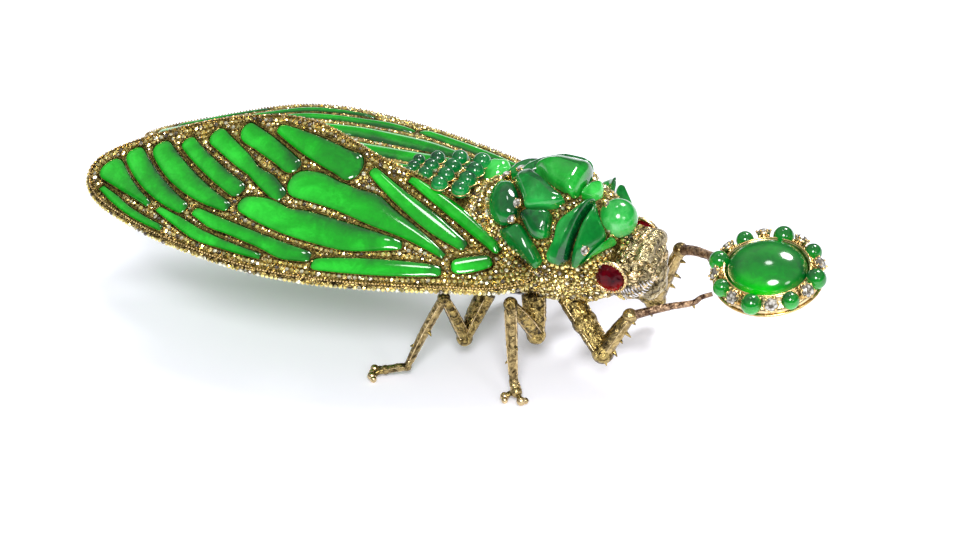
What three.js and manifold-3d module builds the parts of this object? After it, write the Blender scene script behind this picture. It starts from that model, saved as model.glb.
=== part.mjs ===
// Jewelled cicada ornament: jade inlaid wings over a gold body, holding a jade cluster in its front legs.
// Millimetres, +Z up. The head points along +X, and the near side of the figure is -Y.
import * as THREE from 'three';
import { mergeVertices } from 'three/addons/utils/BufferGeometryUtils.js';
import Module from 'manifold-3d';

const wasm = await Module();
wasm.setup();

// Driving sizes
const seatGap = 0.3; // clearance between a stone or casting and what it sits in
const bodyLength = 70; // tail tip to the front of the thorax
const bodyWidth = 23; // widest part of the thorax
const bodyHeight = 24; // deepest part of the thorax
const bellyHeight = 12.8; // floor to the underside of the thorax
const wingReach = 94.4; // wing root to wing tip, along the body
const wingSpread = 29.6; // midline to the widest part of the front edge
const wingThickness = 1.3;
const panelProud = 0.35; // how far a wing panel stands out of its frame, on both faces
const panelEdge = 0.25; // rounding of a panel's rim
const rubyWidth = 6.2;
const ballDiameter = 7.6;
const stoneHeight = 2.2; // how far the thorax stones stand off the gold
const beadDiameter = 3.6; // largest beads on the abdomen
const clusterLength = 19.6; // across the centres of the cluster's beads
const clusterWidth = 18.2;
const clusterBead = 4.1;
const clusterDiamond = 2.7;
const clusterPlate = 2.2;
const cabochonLength = 15.6;
const cabochonWidth = 13.8;
const cabochonHeight = 4.6;
const legScale = 1; // thickness of all legs
const toeRadius = 0.95;
const pinLength = 22;
const pinDiameter = 0.9;
const pinPivotRadius = 0.5;
const pinPivotGap = 0.08; // running clearance all round
const hingeWall = 1;

const colour = {
  gold: new THREE.Color(0.62, 0.47, 0.2),
  pave: new THREE.Color(0.66, 0.54, 0.28),
  wingJade: new THREE.Color(0.05, 0.62, 0.12),
  bodyJade: new THREE.Color(0.04, 0.42, 0.14),
  paleJade: new THREE.Color(0.16, 0.66, 0.24),
  ruby: new THREE.Color(0.5, 0.01, 0.04),
  steel: new THREE.Color(0.32, 0.31, 0.3),
};

const cicada = new THREE.Group();

// Small helpers
function degrees(value) {
  return THREE.MathUtils.degToRad(value);
}

function smooth(stations, x) {
  // Reads a smooth curve through rows of [x, value, value, ...] at one x.
  const last = stations.length - 1;
  const here = THREE.MathUtils.clamp(x, stations[0][0], stations[last][0]);
  let i = 0;
  while (i < last - 1 && here > stations[i + 1][0]) i += 1;
  const t = (here - stations[i][0]) / (stations[i + 1][0] - stations[i][0]);
  const ease = t * t * (3 - 2 * t) * 0.35 + t * 0.65;
  return stations[i].slice(1).map((value, k) => value + (stations[i + 1][k + 1] - value) * ease);
}

function toSolid(geometry) {
  const bare = geometry.clone();
  bare.deleteAttribute('normal');
  bare.deleteAttribute('uv');
  const merged = mergeVertices(bare, 1e-4);
  return new wasm.Manifold(new wasm.Mesh({
    numProp: 3,
    vertProperties: new Float32Array(merged.attributes.position.array),
    triVerts: new Uint32Array(merged.index.array),
  }));
}

function toGeometry(solid) {
  const mesh = solid.getMesh();
  const geometry = new THREE.BufferGeometry();
  geometry.setAttribute('position', new THREE.BufferAttribute(new Float32Array(mesh.vertProperties), 3));
  geometry.setIndex(new THREE.BufferAttribute(new Uint32Array(mesh.triVerts), 1));
  return geometry;
}

function largest(solid) {
  // A cut can leave specks beside the piece itself.
  return solid.decompose().sort((a, b) => b.volume() - a.volume())[0];
}

function union(solids) {
  return solids.reduce((whole, next) => whole.add(next));
}

function signedVolume(geometry) {
  const position = geometry.attributes.position;
  const index = geometry.index;
  const corners = [new THREE.Vector3(), new THREE.Vector3(), new THREE.Vector3()];
  let volume = 0;
  for (let i = 0; i < index.count; i += 3) {
    corners.forEach((corner, k) => corner.fromBufferAttribute(position, index.getX(i + k)));
    volume += corners[0].dot(corners[1].clone().cross(corners[2])) / 6;
  }
  return volume;
}

function reshape(geometry, place) {
  // Moves each vertex by a function of its place, and turns the faces over where that mirrors the form.
  const bare = geometry.clone();
  bare.deleteAttribute('normal');
  bare.deleteAttribute('uv');
  const merged = mergeVertices(bare, 1e-4);
  const position = merged.attributes.position;
  const vertex = new THREE.Vector3();
  for (let i = 0; i < position.count; i += 1) {
    const moved = place(vertex.fromBufferAttribute(position, i));
    position.setXYZ(i, moved.x, moved.y, moved.z);
  }
  if (signedVolume(merged) < 0) {
    const index = merged.index;
    for (let i = 0; i < index.count; i += 3) {
      const second = index.getX(i + 1);
      index.setX(i + 1, index.getX(i + 2));
      index.setX(i + 2, second);
    }
  }
  return merged;
}

function acrossMidline(solid) {
  return toSolid(reshape(toGeometry(solid), (p) => new THREE.Vector3(p.x, -p.y, p.z)));
}

function ellipsoid(centre, radii, across = 16, down = 10) {
  const geometry = new THREE.SphereGeometry(1, across, down);
  geometry.scale(radii[0], radii[1], radii[2]);
  geometry.translate(centre[0], centre[1], centre[2]);
  return toSolid(geometry);
}

function block(low, high) {
  const geometry = new THREE.BoxGeometry(high[0] - low[0], high[1] - low[1], high[2] - low[2]);
  geometry.translate((low[0] + high[0]) / 2, (low[1] + high[1]) / 2, (low[2] + high[2]) / 2);
  return toSolid(geometry);
}

function rod(from, to, startRadius, endRadius, sides = 6) {
  const start = new THREE.Vector3(...from);
  const end = new THREE.Vector3(...to);
  const along = end.clone().sub(start);
  const geometry = new THREE.CylinderGeometry(endRadius, startRadius, along.length(), sides);
  const turn = new THREE.Quaternion().setFromUnitVectors(new THREE.Vector3(0, 1, 0), along.normalize());
  geometry.applyQuaternion(turn);
  geometry.translate((from[0] + to[0]) / 2, (from[1] + to[1]) / 2, (from[2] + to[2]) / 2);
  return toSolid(geometry);
}

function ball(centre, radius, across = 6, down = 4) {
  return ellipsoid(centre, [radius, radius, radius], across, down);
}

function add(name, solid, tint, roughness, metalness) {
  const material = new THREE.MeshStandardMaterial({ color: tint, roughness, metalness });
  const mesh = new THREE.Mesh(toGeometry(largest(solid)), material);
  mesh.name = name;
  cicada.add(mesh);
  return mesh;
}

// Body form: rows of [share of the body's length from the tail, half width, upper depth, lower depth],
// the last three as shares of the thorax's half width and half height
const bodyFront = 40.5;
const bodyTail = bodyFront - bodyLength;
const bodyAxis = bellyHeight + bodyHeight / 2;
const bodyRows = [
  [0, 0.06, 0.05, 0.05],
  [0.08, 0.36, 0.24, 0.42],
  [0.25, 0.66, 0.46, 0.76],
  [0.42, 0.8, 0.6, 0.9],
  [0.6, 0.84, 0.7, 0.95],
  [0.68, 0.93, 0.9, 0.98],
  [0.77, 1, 1.06, 1],
  [0.84, 1, 1.04, 0.99],
  [0.91, 0.92, 0.8, 0.92],
  [0.96, 0.72, 0.5, 0.78],
  [1, 0.3, 0.16, 0.4],
];

function bodyPoint(x, angle, lift) {
  // angle is 0 on top of the back and grows towards the near side
  const share = (x - bodyTail) / bodyLength;
  const [wide, up, down] = smooth(bodyRows, share);
  const halfWidth = (wide * bodyWidth) / 2 + lift;
  const above = Math.cos(angle) > 0;
  const halfHeight = ((above ? up : down) * bodyHeight) / 2 + lift;
  const fullness = above ? 0.88 : 1; // below 1 the back is squarer than an oval
  const across = Math.sign(Math.sin(angle)) * Math.abs(Math.sin(angle)) ** fullness;
  const rise = Math.sign(Math.cos(angle)) * Math.abs(Math.cos(angle)) ** fullness;
  return new THREE.Vector3(x, -halfWidth * across, bodyAxis + halfHeight * rise);
}

function bodyForm(lift, around = 18, along = 15) {
  const geometry = new THREE.CylinderGeometry(1, 1, 1, around, along);
  return toSolid(reshape(geometry, (p) => {
    const share = p.y + 0.5;
    const stretch = lift * (2 * share - 1);
    const angle = Math.atan2(p.x, p.z);
    const onRim = Math.hypot(p.x, p.z) > 0.5;
    const x = bodyTail + bodyLength * share + stretch;
    const surface = bodyPoint(x, angle, lift);
    return onRim ? surface : new THREE.Vector3(x, 0, bodyAxis);
  }));
}

const clearBody = bodyForm(seatGap);

// Saddle on the back of the abdomen, and the rows of beads set in it:
// [place behind the front of the body, first place across, height over the axis, how many, share of diameter]
const saddle = { back: 39, across: 0.9, rise: 2.8, radii: [13.5, 7.2, 6.6] };
const beadRows = [
  [33.2, -4.2, 9.8, 4, 1],
  [37.9, -3.6, 9.7, 4, 0.94],
  [42.2, -0.7, 9.5, 3, 0.84],
  [45.7, -0.9, 9.1, 3, 0.7],
];
const beadPitch = 0.96; // spacing along a row, as a share of the beads' diameter
const beadStem = 0.8; // radius of the post under a bead, as a share of its radius

function saddleForm(grow) {
  const centre = [bodyFront - saddle.back, saddle.across, bodyAxis + saddle.rise];
  const parts = [ellipsoid(centre, saddle.radii.map((radius) => radius + grow), 14, 10)];
  for (const [back, first, rise, count, share] of beadRows) {
    const diameter = beadDiameter * share;
    const stem = (diameter / 2) * beadStem + grow;
    for (let i = 0; i < count; i += 1) {
      const top = [bodyFront - back, first + i * diameter * beadPitch, bodyAxis + rise];
      const foot = [top[0], top[1], bodyAxis + saddle.rise];
      parts.push(ball(top, diameter / 2 + grow).add(rod(foot, top, stem, stem)));
    }
  }
  return union(parts);
}

// Wings: a panel is a strip round a bowed centre line, in millimetres from the wing root towards the tip
// and from the midline outwards: [root end, tip end, bow, half widths at the root, middle and tip]
const wingRoot = { x: bodyFront - 14.5, aside: bodyWidth / 2 + 0.5, height: bodyAxis + 0.3 * bodyHeight };
const wingPanels = [
  [[78.6, 20.2], [91.6, 12], -0.4, [0.3, 1.2, 2.8]],
  [[70.6, 20.2], [87.4, 8.5], -1.4, [0.9, 1.7, 1.6]],
  [[62, 18.3], [82.3, 6.7], -1.8, [0.7, 1.9, 1.6]],
  [[60.9, 14.6], [77, 5.4], -0.6, [1.5, 1.4, 1.2]],
  [[52.4, 14], [71.8, 3.4], 0, [1.3, 1.4, 1.6]],
  [[52, 7.2], [65.9, 1.5], -0.1, [1.1, 1.6, 1.2]],
  [[39.8, 5], [58.8, 0.5], -0.1, [2.1, 2, 0.5]],
  [[17.6, 16.3], [52.2, 10.5], 1.5, [0.3, 2.2, 2.8]],
  [[26, 17], [60, 16.8], -1.8, [0.6, 2.8, 1.3]],
  [[41.8, 24.7], [68.4, 20.3], -1, [0.8, 1.1, 0.6]],
  [[51.4, 27.1], [76, 20.9], -1.4, [0.3, 0.7, 0.3]],
  [[73.6, 25], [90.2, 17.4], -0.9, [0.3, 0.5, 0.2]],
  [[16.9, 19.4], [40.6, 26], -0.2, [0.8, 1.5, 0.9]],
  [[8.8, 13.7], [15, 17.7], -0.1, [0.8, 1.4, 1.1]],
  [[14.5, 12.9], [37.3, 4.1], -0.7, [0.7, 1.3, 0.6]],
  [[8.2, 11.2], [29.4, 3.8], 0.4, [0.7, 1, 0.2]],
];
const wingRim = [
  [0.3, 13], [5, 18], [14, 21.8], [28, 26.4], [42, 29.3], [56, 29.6], [72, 26.9], [84, 22.7],
  [91, 18.9], [94.4, 14.5], [93.6, 10.2], [87, 6], [76, 1.9], [66, -0.9], [57, -2.4], [50, -2],
  [43, -0.2], [36, 1.6], [22, 3.5], [14, 6], [7.8, 9.6],
];
const drawnReach = 94.4;
const drawnSpread = 29.6;
const nearPose = { side: 'near', across: -1, slope: 0.4, droop: 0, sweep: 0, lift: 0.15 };
const farPose = { side: 'far', across: 1, slope: 0.26, droop: 0.0655, sweep: 0.03, lift: -0.15 };
nearPose.panels = wingPanels;
farPose.panels = wingPanels.slice(0, -1); // it lies flatter, and the body covers its last panel

function onWing(along, across) {
  return new THREE.Vector2((along * wingReach) / drawnReach, (across * wingSpread) / drawnSpread);
}

const archMiddle = 61; // where the wing bows lowest along its length, and by how much
const archRate = 0.0023;
const crestRise = 1.9; // the inner border turns up along the ridge
const crestFoot = 2.5;
const crestSoft = 1.5;
const drawnAside = 12; // the wing root in the rows above

function wingPoint(pose, along, across, thick) {
  const arch = archRate * (archMiddle - along) ** 2;
  const crest = crestRise / (1 + Math.exp((across - crestFoot) / crestSoft));
  const fall = pose.slope * (across - drawnAside) + pose.droop * along + arch;
  const y = pose.across * (across - drawnAside + wingRoot.aside - pose.sweep * along);
  return new THREE.Vector3(wingRoot.x - along, y, wingRoot.height - fall + crest + pose.lift + thick);
}

const thinnestHalf = panelEdge + 0.05; // half width of a panel's ends

function strip([[x0, y0], [x1, y1], bow, widths], grow, steps = 5) {
  const start = onWing(x0, y0);
  const end = onWing(x1, y1);
  const along = end.clone().sub(start);
  const length = along.length();
  along.normalize();
  const side = new THREE.Vector2(along.y, -along.x);
  const ends = [widths[0] / length, widths[2] / length].map((share) => Math.min(share, 0.4));
  const near = [];
  const far = [];
  for (let i = 0; i <= steps; i += 1) {
    const t = (1 - Math.cos((Math.PI * i) / steps)) / 2;
    const middle = 4 * t * (1 - t);
    const centre = start.clone().addScaledVector(along, t * length + grow * (2 * t - 1));
    centre.addScaledVector(side, bow * middle);
    let half = widths[0] * (1 - t) * (1 - 2 * t) + widths[1] * middle + widths[2] * t * (2 * t - 1);
    if (t < ends[0]) half *= Math.sqrt(1 - (1 - t / ends[0]) ** 2);
    if (1 - t < ends[1]) half *= Math.sqrt(1 - (1 - (1 - t) / ends[1]) ** 2);
    half = Math.max(half, thinnestHalf) + grow;
    const slope = along.clone().addScaledVector(side, (bow * 4 * (1 - 2 * t)) / length).normalize();
    const out = new THREE.Vector2(slope.y, -slope.x);
    near.push(centre.clone().addScaledVector(out, half));
    far.unshift(centre.clone().addScaledVector(out, -half));
  }
  return near.concat(far);
}

const clearBack = clearBody.add(saddleForm(seatGap));

function wingFrame(pose) {
  const places = wingRim.map(([along, across]) => onWing(along, across));
  const rim = places.map((p) => new THREE.Vector3(p.x, p.y, 0));
  const outline = new THREE.CatmullRomCurve3(rim, true).getPoints(48).slice(0, -1);
  const shape = new THREE.Shape(outline.map((p) => new THREE.Vector2(p.x, p.y)));
  shape.holes = pose.panels.map((panel) => new THREE.Path(strip(panel, seatGap)));
  const flat = new THREE.ExtrudeGeometry(shape, { depth: wingThickness, bevelEnabled: false });
  const solid = toSolid(reshape(flat, (p) => wingPoint(pose, p.x, p.y, p.z)));
  add(`${pose.side}_wing_frame`, solid.subtract(clearBack), colour.pave, 0.35, 0.9);
}

function wingPanel(pose, panel, number) {
  const shape = new THREE.Shape(strip(panel, -panelEdge));
  const flat = new THREE.ExtrudeGeometry(shape, {
    depth: wingThickness + 2 * (panelProud - panelEdge),
    bevelThickness: panelEdge,
    bevelSize: panelEdge,
    bevelSegments: 1,
  });
  flat.translate(0, 0, panelEdge - panelProud);
  const solid = toSolid(reshape(flat, (p) => wingPoint(pose, p.x, p.y, p.z)));
  const name = `${pose.side}_wing_panel_${String(number).padStart(2, '0')}`;
  add(name, solid.subtract(clearBack), colour.wingJade, 0.15, 0);
}

for (const pose of [nearPose, farPose]) {
  wingFrame(pose);
  pose.panels.forEach((panel, i) => wingPanel(pose, panel, i + 1));
}

// Stones on the back: [place along, degrees round from the top, turn, length, width, taper, squareness].
// The taper widens the rear end, and a squareness of 2 is an oval.
const stones = {
  shield: [27, 0, 0, 10.8, 5, -0.7, 2.6],
  side: [23.8, 22.5, 27, 11, 4.5, 0.1, 2.6],
  rear_oval: [16.5, 33, 77, 8.8, 5.2, 0, 2.4],
  flank_upper: [25.4, 50.5, 8, 6, 3.7, -0.15, 2.6],
  flank_petal: [22.9, 72, 30, 9.8, 3.3, 0.3, 2.2],
  neck_petal: [32.3, 47, 114, 13.4, 4.5, -0.2, 2.4],
  neck_leaf: [36.3, 49, 103, 12, 2.5, -0.15, 2.2],
};
const stoneDepth = 1.6; // how deep a stone's blank reaches before the seat is cut

function stoneForm([x, around, turn, length, width, taper, square], grow = 0) {
  const profile = [[0, -stoneDepth], [1, -stoneDepth], [1, 0.34], [0.84, 0.82], [0.45, 1], [0, 1.04]];
  const points = profile.map(([r, h]) => new THREE.Vector2(r, h > 0 ? h * (stoneHeight + grow) : h));
  const angle = degrees(turn);
  const roundness = 2 / square;
  return toSolid(reshape(new THREE.LatheGeometry(points, 12), (p) => {
    const radius = Math.hypot(p.x, p.z);
    const c = radius > 0 ? p.z / radius : 0;
    const s = radius > 0 ? p.x / radius : 0;
    const ahead = radius * (length / 2 + grow) * Math.sign(c) * Math.abs(c) ** roundness;
    const aside = radius * (width / 2 + grow) * Math.sign(s) * Math.abs(s) ** roundness * (1 - taper * c);
    const alongBody = ahead * Math.cos(angle) - aside * Math.sin(angle);
    const roundBody = ahead * Math.sin(angle) + aside * Math.cos(angle);
    return bodyPoint(x + alongBody, degrees(around) + roundBody / (bodyWidth / 2), p.y);
  }));
}

function seated(solid) {
  return solid.subtract(clearBody);
}

const ballCentre = [bodyFront - 2.3, 0, bodyAxis + 6.8];
add('shield_stone', seated(stoneForm(stones.shield)), colour.bodyJade, 0.1, 0);
const pairs = {
  side_stone: stoneForm(stones.side),
  rear_stone: stoneForm(stones.rear_oval),
  flank_stone: stoneForm(stones.flank_upper),
  flank_petal: stoneForm(stones.flank_petal),
  neck_petal: stoneForm(stones.neck_petal),
  neck_leaf: stoneForm(stones.neck_leaf),
};
const clearBall = ball(ballCentre, ballDiameter / 2 + seatGap, 12, 8);
for (const [name, blank] of Object.entries(pairs)) {
  const stone = seated(blank).subtract(clearBall);
  add(`near_${name}`, stone, colour.bodyJade, 0.1, 0);
  add(`far_${name}`, acrossMidline(stone), colour.bodyJade, 0.1, 0);
}
add('crown_ball', seated(ball(ballCentre, ballDiameter / 2, 12, 8)), colour.paleJade, 0.08, 0);

// Head with a ruby in each side
const headCentre = [bodyFront + 1.1, 0, bodyAxis - 2.6];
const headRadii = [5.2, bodyWidth * 0.348, bodyHeight / 4];
const faceCentre = [headCentre[0] + 2.6, 0, headCentre[2] - 2.4];
const faceRadii = [3.4, bodyWidth / 5, bodyHeight * 0.19];
const brow = { ahead: 3, rise: 4.2, half: bodyWidth * 0.148, radius: 1.9 };
const rubyCentre = [bodyFront - 1.2, bodyWidth * 0.3435, bodyAxis - 1.3];
const rubyRadii = [rubyWidth / 2, 2, rubyWidth / 2.15];
const rubyRim = 0.5; // metal round each ruby
let head = ellipsoid(headCentre, headRadii, 14, 9).add(ellipsoid(faceCentre, faceRadii, 10, 7));
head = head.add(rod(
  [headCentre[0] + brow.ahead, -brow.half, headCentre[2] + brow.rise],
  [headCentre[0] + brow.ahead, brow.half, headCentre[2] + brow.rise],
  brow.radius,
  brow.radius,
  8,
));
for (const [side, name] of [[-1, 'near'], [1, 'far']]) {
  const centre = [rubyCentre[0], side * rubyCentre[1], rubyCentre[2]];
  const inward = [centre[0], centre[1] * 0.93, centre[2]];
  head = head.add(ellipsoid(inward, rubyRadii.map((radius) => radius + rubyRim), 10, 6));
  head = head.subtract(ellipsoid(centre, rubyRadii.map((radius) => radius + seatGap), 10, 6));
  const ruby = ellipsoid(centre, rubyRadii, 10, 6);
  add(`${name}_ruby_eye`, ruby.subtract(clearBody), colour.ruby, 0.05, 0);
}
const clearNeck = ['neck_leaf', 'neck_petal'].map((key) => stoneForm(stones[key], seatGap));
for (const solid of clearNeck) {
  head = head.subtract(solid).subtract(acrossMidline(solid));
}
head = head.subtract(clearBody).subtract(clearBall);
add('head', head, colour.gold, 0.4, 0.9);

// Legs: joints from the hip to the foot, each [x, y, z, radius] as drawn for a body of these sizes
const drawnBody = { front: 40.5, width: 23, belly: 12.8 };
const rodShare = 0.9; // a limb between two joints is a little thinner than they are

function onLeg([x, y, z]) {
  const aside = Math.sign(y) * (bodyWidth - drawnBody.width) * 0.5;
  return [x - drawnBody.front + bodyFront, y + aside, (z * bellyHeight) / drawnBody.belly];
}

function limb(joints) {
  const parts = [];
  joints.slice(1).forEach((joint, i) => {
    const before = joints[i];
    const radius = joint[3] * legScale;
    parts.push(rod(onLeg(before), onLeg(joint), before[3] * legScale * rodShare, radius * rodShare));
    parts.push(ball(onLeg(joint), radius));
  });
  return union(parts);
}

function foot(ankle, spread) {
  // two toes with a ball on each, flat underneath where they stand
  const [x, y, z] = onLeg(ankle);
  const toes = spread.map(([dx, dy]) => {
    const tip = [x + dx, y + dy, toeRadius * 0.82];
    return rod([x, y, z], tip, toeRadius * 0.7, toeRadius * 0.6, 4).add(ball(tip, toeRadius));
  });
  return union(toes);
}

const floorBlock = block([-60, -60, -8], [60, 60, 0]);
const midJoints = [
  [23.4, -8.6, 16.4, 2.7],
  [24.3, -10.6, 8.6, 1.9],
  [21.9, -16, 18.6, 1.4],
  [23.3, -19.9, 3.6, 0.95],
];
const midAnkle = [24.1, -20.8, 1.9, 1.15];
const midToes = [[-2.1, -0.9], [1.5, -1.3]];
const hindJoints = [
  [13.2, -8.2, 14.6, 2.5],
  [9.6, -12, 5.6, 1.6],
  [7.8, -16, 17.1, 1.25],
  [1, -20.6, 2.6, 0.9],
];
const hindAnkle = [-3.2, -21.6, 1.6, 0.95];
const hindToes = [[-2.6, 0.5], [-2.1, -1.9]];
const nearFront = [
  [29.8, -7, 16.6, 2.6],
  [34, -9, 12.6, 2.5],
  [38.6, -11.6, 8.2, 2.2],
  [43.2, -8.2, 15.4, 1.5],
];
const farFront = [
  [29.8, 7, 16.6, 2.6],
  [34.4, 9.6, 11, 2.5],
  [39.7, 12.1, 5.6, 2.2],
  [45.2, 13, 17.8, 1.5],
];
const nearShin = [[43.2, -8.2, 15.4, 0.9], [50.4, -5, 17.1, 0.75], [57.2, -2.2, 18.6, 0.9]];
const farShin = [[45.2, 13, 17.8, 1.1], [52.2, 9.6, 20.2, 0.9], [57.6, 7, 22.2, 0.9]];

const midLeg = limb([...midJoints, midAnkle]).add(foot(midAnkle, midToes));
const hindLeg = limb([...hindJoints, hindAnkle]).add(foot(hindAnkle, hindToes));
for (const [name, form] of [['middle_leg', midLeg], ['hind_leg', hindLeg]]) {
  const standing = form.subtract(clearBody).subtract(floorBlock);
  add(`near_${name}`, standing, colour.gold, 0.4, 0.9);
  add(`far_${name}`, acrossMidline(standing), colour.gold, 0.4, 0.9);
}

// Cluster held in the front legs
const clusterLean = degrees(14); // it leans towards the near side
const clusterPlace = new THREE.Object3D();
clusterPlace.position.set(bodyFront + 26.8, 3, (23.4 * bellyHeight) / drawnBody.belly);
clusterPlace.rotation.set(clusterLean, 0, 0);
clusterPlace.updateMatrix();

function onCluster(solid) {
  return toSolid(reshape(toGeometry(solid), (p) => p.clone().applyMatrix4(clusterPlace.matrix)));
}

function ovalDisc(length, width, low, high, sides = 20) {
  const geometry = new THREE.CylinderGeometry(1, 1, high - low, sides);
  geometry.rotateX(Math.PI / 2);
  geometry.scale(length / 2, width / 2, 1);
  geometry.translate(0, 0, (low + high) / 2);
  return toSolid(geometry);
}

const bezelWall = 0.7;
const bezelHeight = 1.4;
const plateRim = 0.6; // how far the plate reaches past the centres of the beads
const clusterCount = 16; // beads and diamonds, by turns
const clusterRise = 0.4; // their centres over the plate

function below(height) {
  const reach = Math.max(clusterLength, clusterWidth);
  return block([-reach, -reach, -reach], [reach, reach, height]);
}

let mount = ovalDisc(clusterLength + 2 * plateRim, clusterWidth + 2 * plateRim, -clusterPlate, 0);
mount = mount.add(ovalDisc(
  cabochonLength + 2 * (seatGap + bezelWall),
  cabochonWidth + 2 * (seatGap + bezelWall),
  -clusterPlate,
  bezelHeight,
));
for (let i = 0; i < clusterCount; i += 1) {
  const angle = (i * 2 * Math.PI) / clusterCount;
  const centre = [(clusterLength / 2) * Math.cos(angle), (clusterWidth / 2) * Math.sin(angle), clusterRise];
  mount = mount.add(ball(centre, (i % 2 ? clusterBead : clusterDiamond) / 2));
}
mount = mount.subtract(ovalDisc(
  cabochonLength + 2 * seatGap,
  cabochonWidth + 2 * seatGap,
  seatGap,
  cabochonHeight * 2,
));
add('cluster_mount', onCluster(mount.subtract(below(-clusterPlate))), colour.gold, 0.35, 0.9);
const dome = ellipsoid([0, 0, 0], [cabochonLength / 2, cabochonWidth / 2, cabochonHeight], 20, 8);
add('cluster_cabochon', onCluster(dome.subtract(below(2 * seatGap))), colour.wingJade, 0.08, 0);

const backFree = 4; // depth behind the plate that the legs leave clear
const clearBeads = ovalDisc(
  clusterLength + clusterBead + 2 * seatGap,
  clusterWidth + clusterBead + 2 * seatGap,
  -clusterPlate - seatGap,
  clusterBead,
);
const clearPlate = ovalDisc(
  clusterLength + 2 * (plateRim + seatGap),
  clusterWidth + 2 * (plateRim + seatGap),
  -clusterPlate - backFree,
  0,
);
const clearCluster = onCluster(clearBeads.add(clearPlate));
const nearFrontLeg = limb(nearFront).add(limb(nearShin)).subtract(clearBody).subtract(clearCluster);
const farFrontLeg = limb(farFront).add(limb(farShin)).subtract(clearBody).subtract(clearCluster);
add('near_front_leg', nearFrontLeg, colour.gold, 0.4, 0.9);
add('far_front_leg', farFrontLeg, colour.gold, 0.4, 0.9);

// Pin under the belly, hinged at the front and held in a fork at the rear
const pinPivot = [bodyFront - 10.5, 0, bellyHeight - 1.6];
const pinTip = [pinPivot[0] - pinLength, 0, pinPivot[2] - 1.9];
const pinRadius = pinDiameter / 2;
const barrelHalf = 1;
const barrelRadius = 1;
const hinge = { inner: barrelHalf + seatGap, outer: barrelHalf + seatGap + hingeWall, half: 1.3, sunk: 1.5 };
const fork = { inner: pinRadius + seatGap, wall: 0.7, ahead: 1, length: 2, below: 0.8, sunk: 3 };

function acrossRod(centre, half, radius, sides) {
  return rod([centre[0], -half, centre[2]], [centre[0], half, centre[2]], radius, radius, sides);
}

const pivot = acrossRod(pinPivot, hinge.outer, pinPivotRadius, 16);
const barrel = acrossRod(pinPivot, barrelHalf, barrelRadius, 10);
const stem = rod(pinPivot, pinTip, pinRadius, pinRadius * 0.6);
add('brooch_pin', pivot.add(barrel).add(stem), colour.steel, 0.3, 1);

// Body: one gold casting with the saddle and its beads, the hinge cheeks and the catch
let body = bodyForm(0).add(saddleForm(0));
for (const side of [-1, 1]) {
  const cheeks = [side * hinge.inner, side * hinge.outer].sort((a, b) => a - b);
  body = body.add(block(
    [pinPivot[0] - hinge.half, cheeks[0], pinPivot[2] - hinge.half],
    [pinPivot[0] + hinge.half, cheeks[1], bellyHeight + hinge.sunk],
  ));
  const prongs = [side * fork.inner, side * (fork.inner + fork.wall)].sort((a, b) => a - b);
  body = body.add(block(
    [pinTip[0] + fork.ahead, prongs[0], pinTip[2] - fork.below],
    [pinTip[0] + fork.ahead + fork.length, prongs[1], bellyHeight + fork.sunk],
  ));
}
body = body.subtract(acrossRod(pinPivot, hinge.outer + hingeWall, pinPivotRadius + pinPivotGap, 16));
add('body', body, colour.gold, 0.4, 0.9);

// The origin is on the floor, under the middle of the whole piece
const bounds = new THREE.Box3().setFromObject(cicada);
cicada.position.set(-(bounds.min.x + bounds.max.x) / 2, -(bounds.min.y + bounds.max.y) / 2, -bounds.min.z);

export default cicada;
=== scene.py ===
import bpy
import math
import numpy as np
from mathutils import Vector, Matrix, geometry, kdtree, noise


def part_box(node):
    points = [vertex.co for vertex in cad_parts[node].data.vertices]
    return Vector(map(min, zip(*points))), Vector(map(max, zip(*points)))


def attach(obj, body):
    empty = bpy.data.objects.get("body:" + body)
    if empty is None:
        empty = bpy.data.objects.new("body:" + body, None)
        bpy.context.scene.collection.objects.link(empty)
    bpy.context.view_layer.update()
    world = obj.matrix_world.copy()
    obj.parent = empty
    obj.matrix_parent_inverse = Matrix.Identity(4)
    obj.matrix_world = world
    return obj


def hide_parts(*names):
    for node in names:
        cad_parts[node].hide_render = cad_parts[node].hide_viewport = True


# Jewelled cicada: sizes in millimetres, x towards the head, the near side is -y.
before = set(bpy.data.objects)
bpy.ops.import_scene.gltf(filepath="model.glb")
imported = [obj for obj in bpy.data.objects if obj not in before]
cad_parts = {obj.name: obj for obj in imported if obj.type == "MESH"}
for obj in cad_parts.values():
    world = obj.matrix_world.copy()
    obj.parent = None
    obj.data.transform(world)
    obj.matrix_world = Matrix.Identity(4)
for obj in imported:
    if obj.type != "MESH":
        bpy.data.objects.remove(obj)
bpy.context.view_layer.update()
chance = np.random.default_rng(11)
print("frame loaded,", len(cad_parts), "nodes")

mm = 0.001
tiny = 1e-12  # keeps a division from meeting nought
crown = {"place": [38.2, 0, 31.6], "radius": 3.8, "across": 48, "down": 32, "paintedGlowFrom": [-0.1, -0.5, -0.6]}
ballLow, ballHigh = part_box("crown_ball")
# the shared frame's place of x = 0 and y = 0 here, found from the ball
zeroX = ballHigh.x - (crown["place"][0] + crown["radius"]) * mm
origin = np.array([zeroX, (ballLow.y + ballHigh.y) / 2, 0.0])


def rowFrame(points):
    return np.asarray(points, float) * mm + origin


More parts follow.
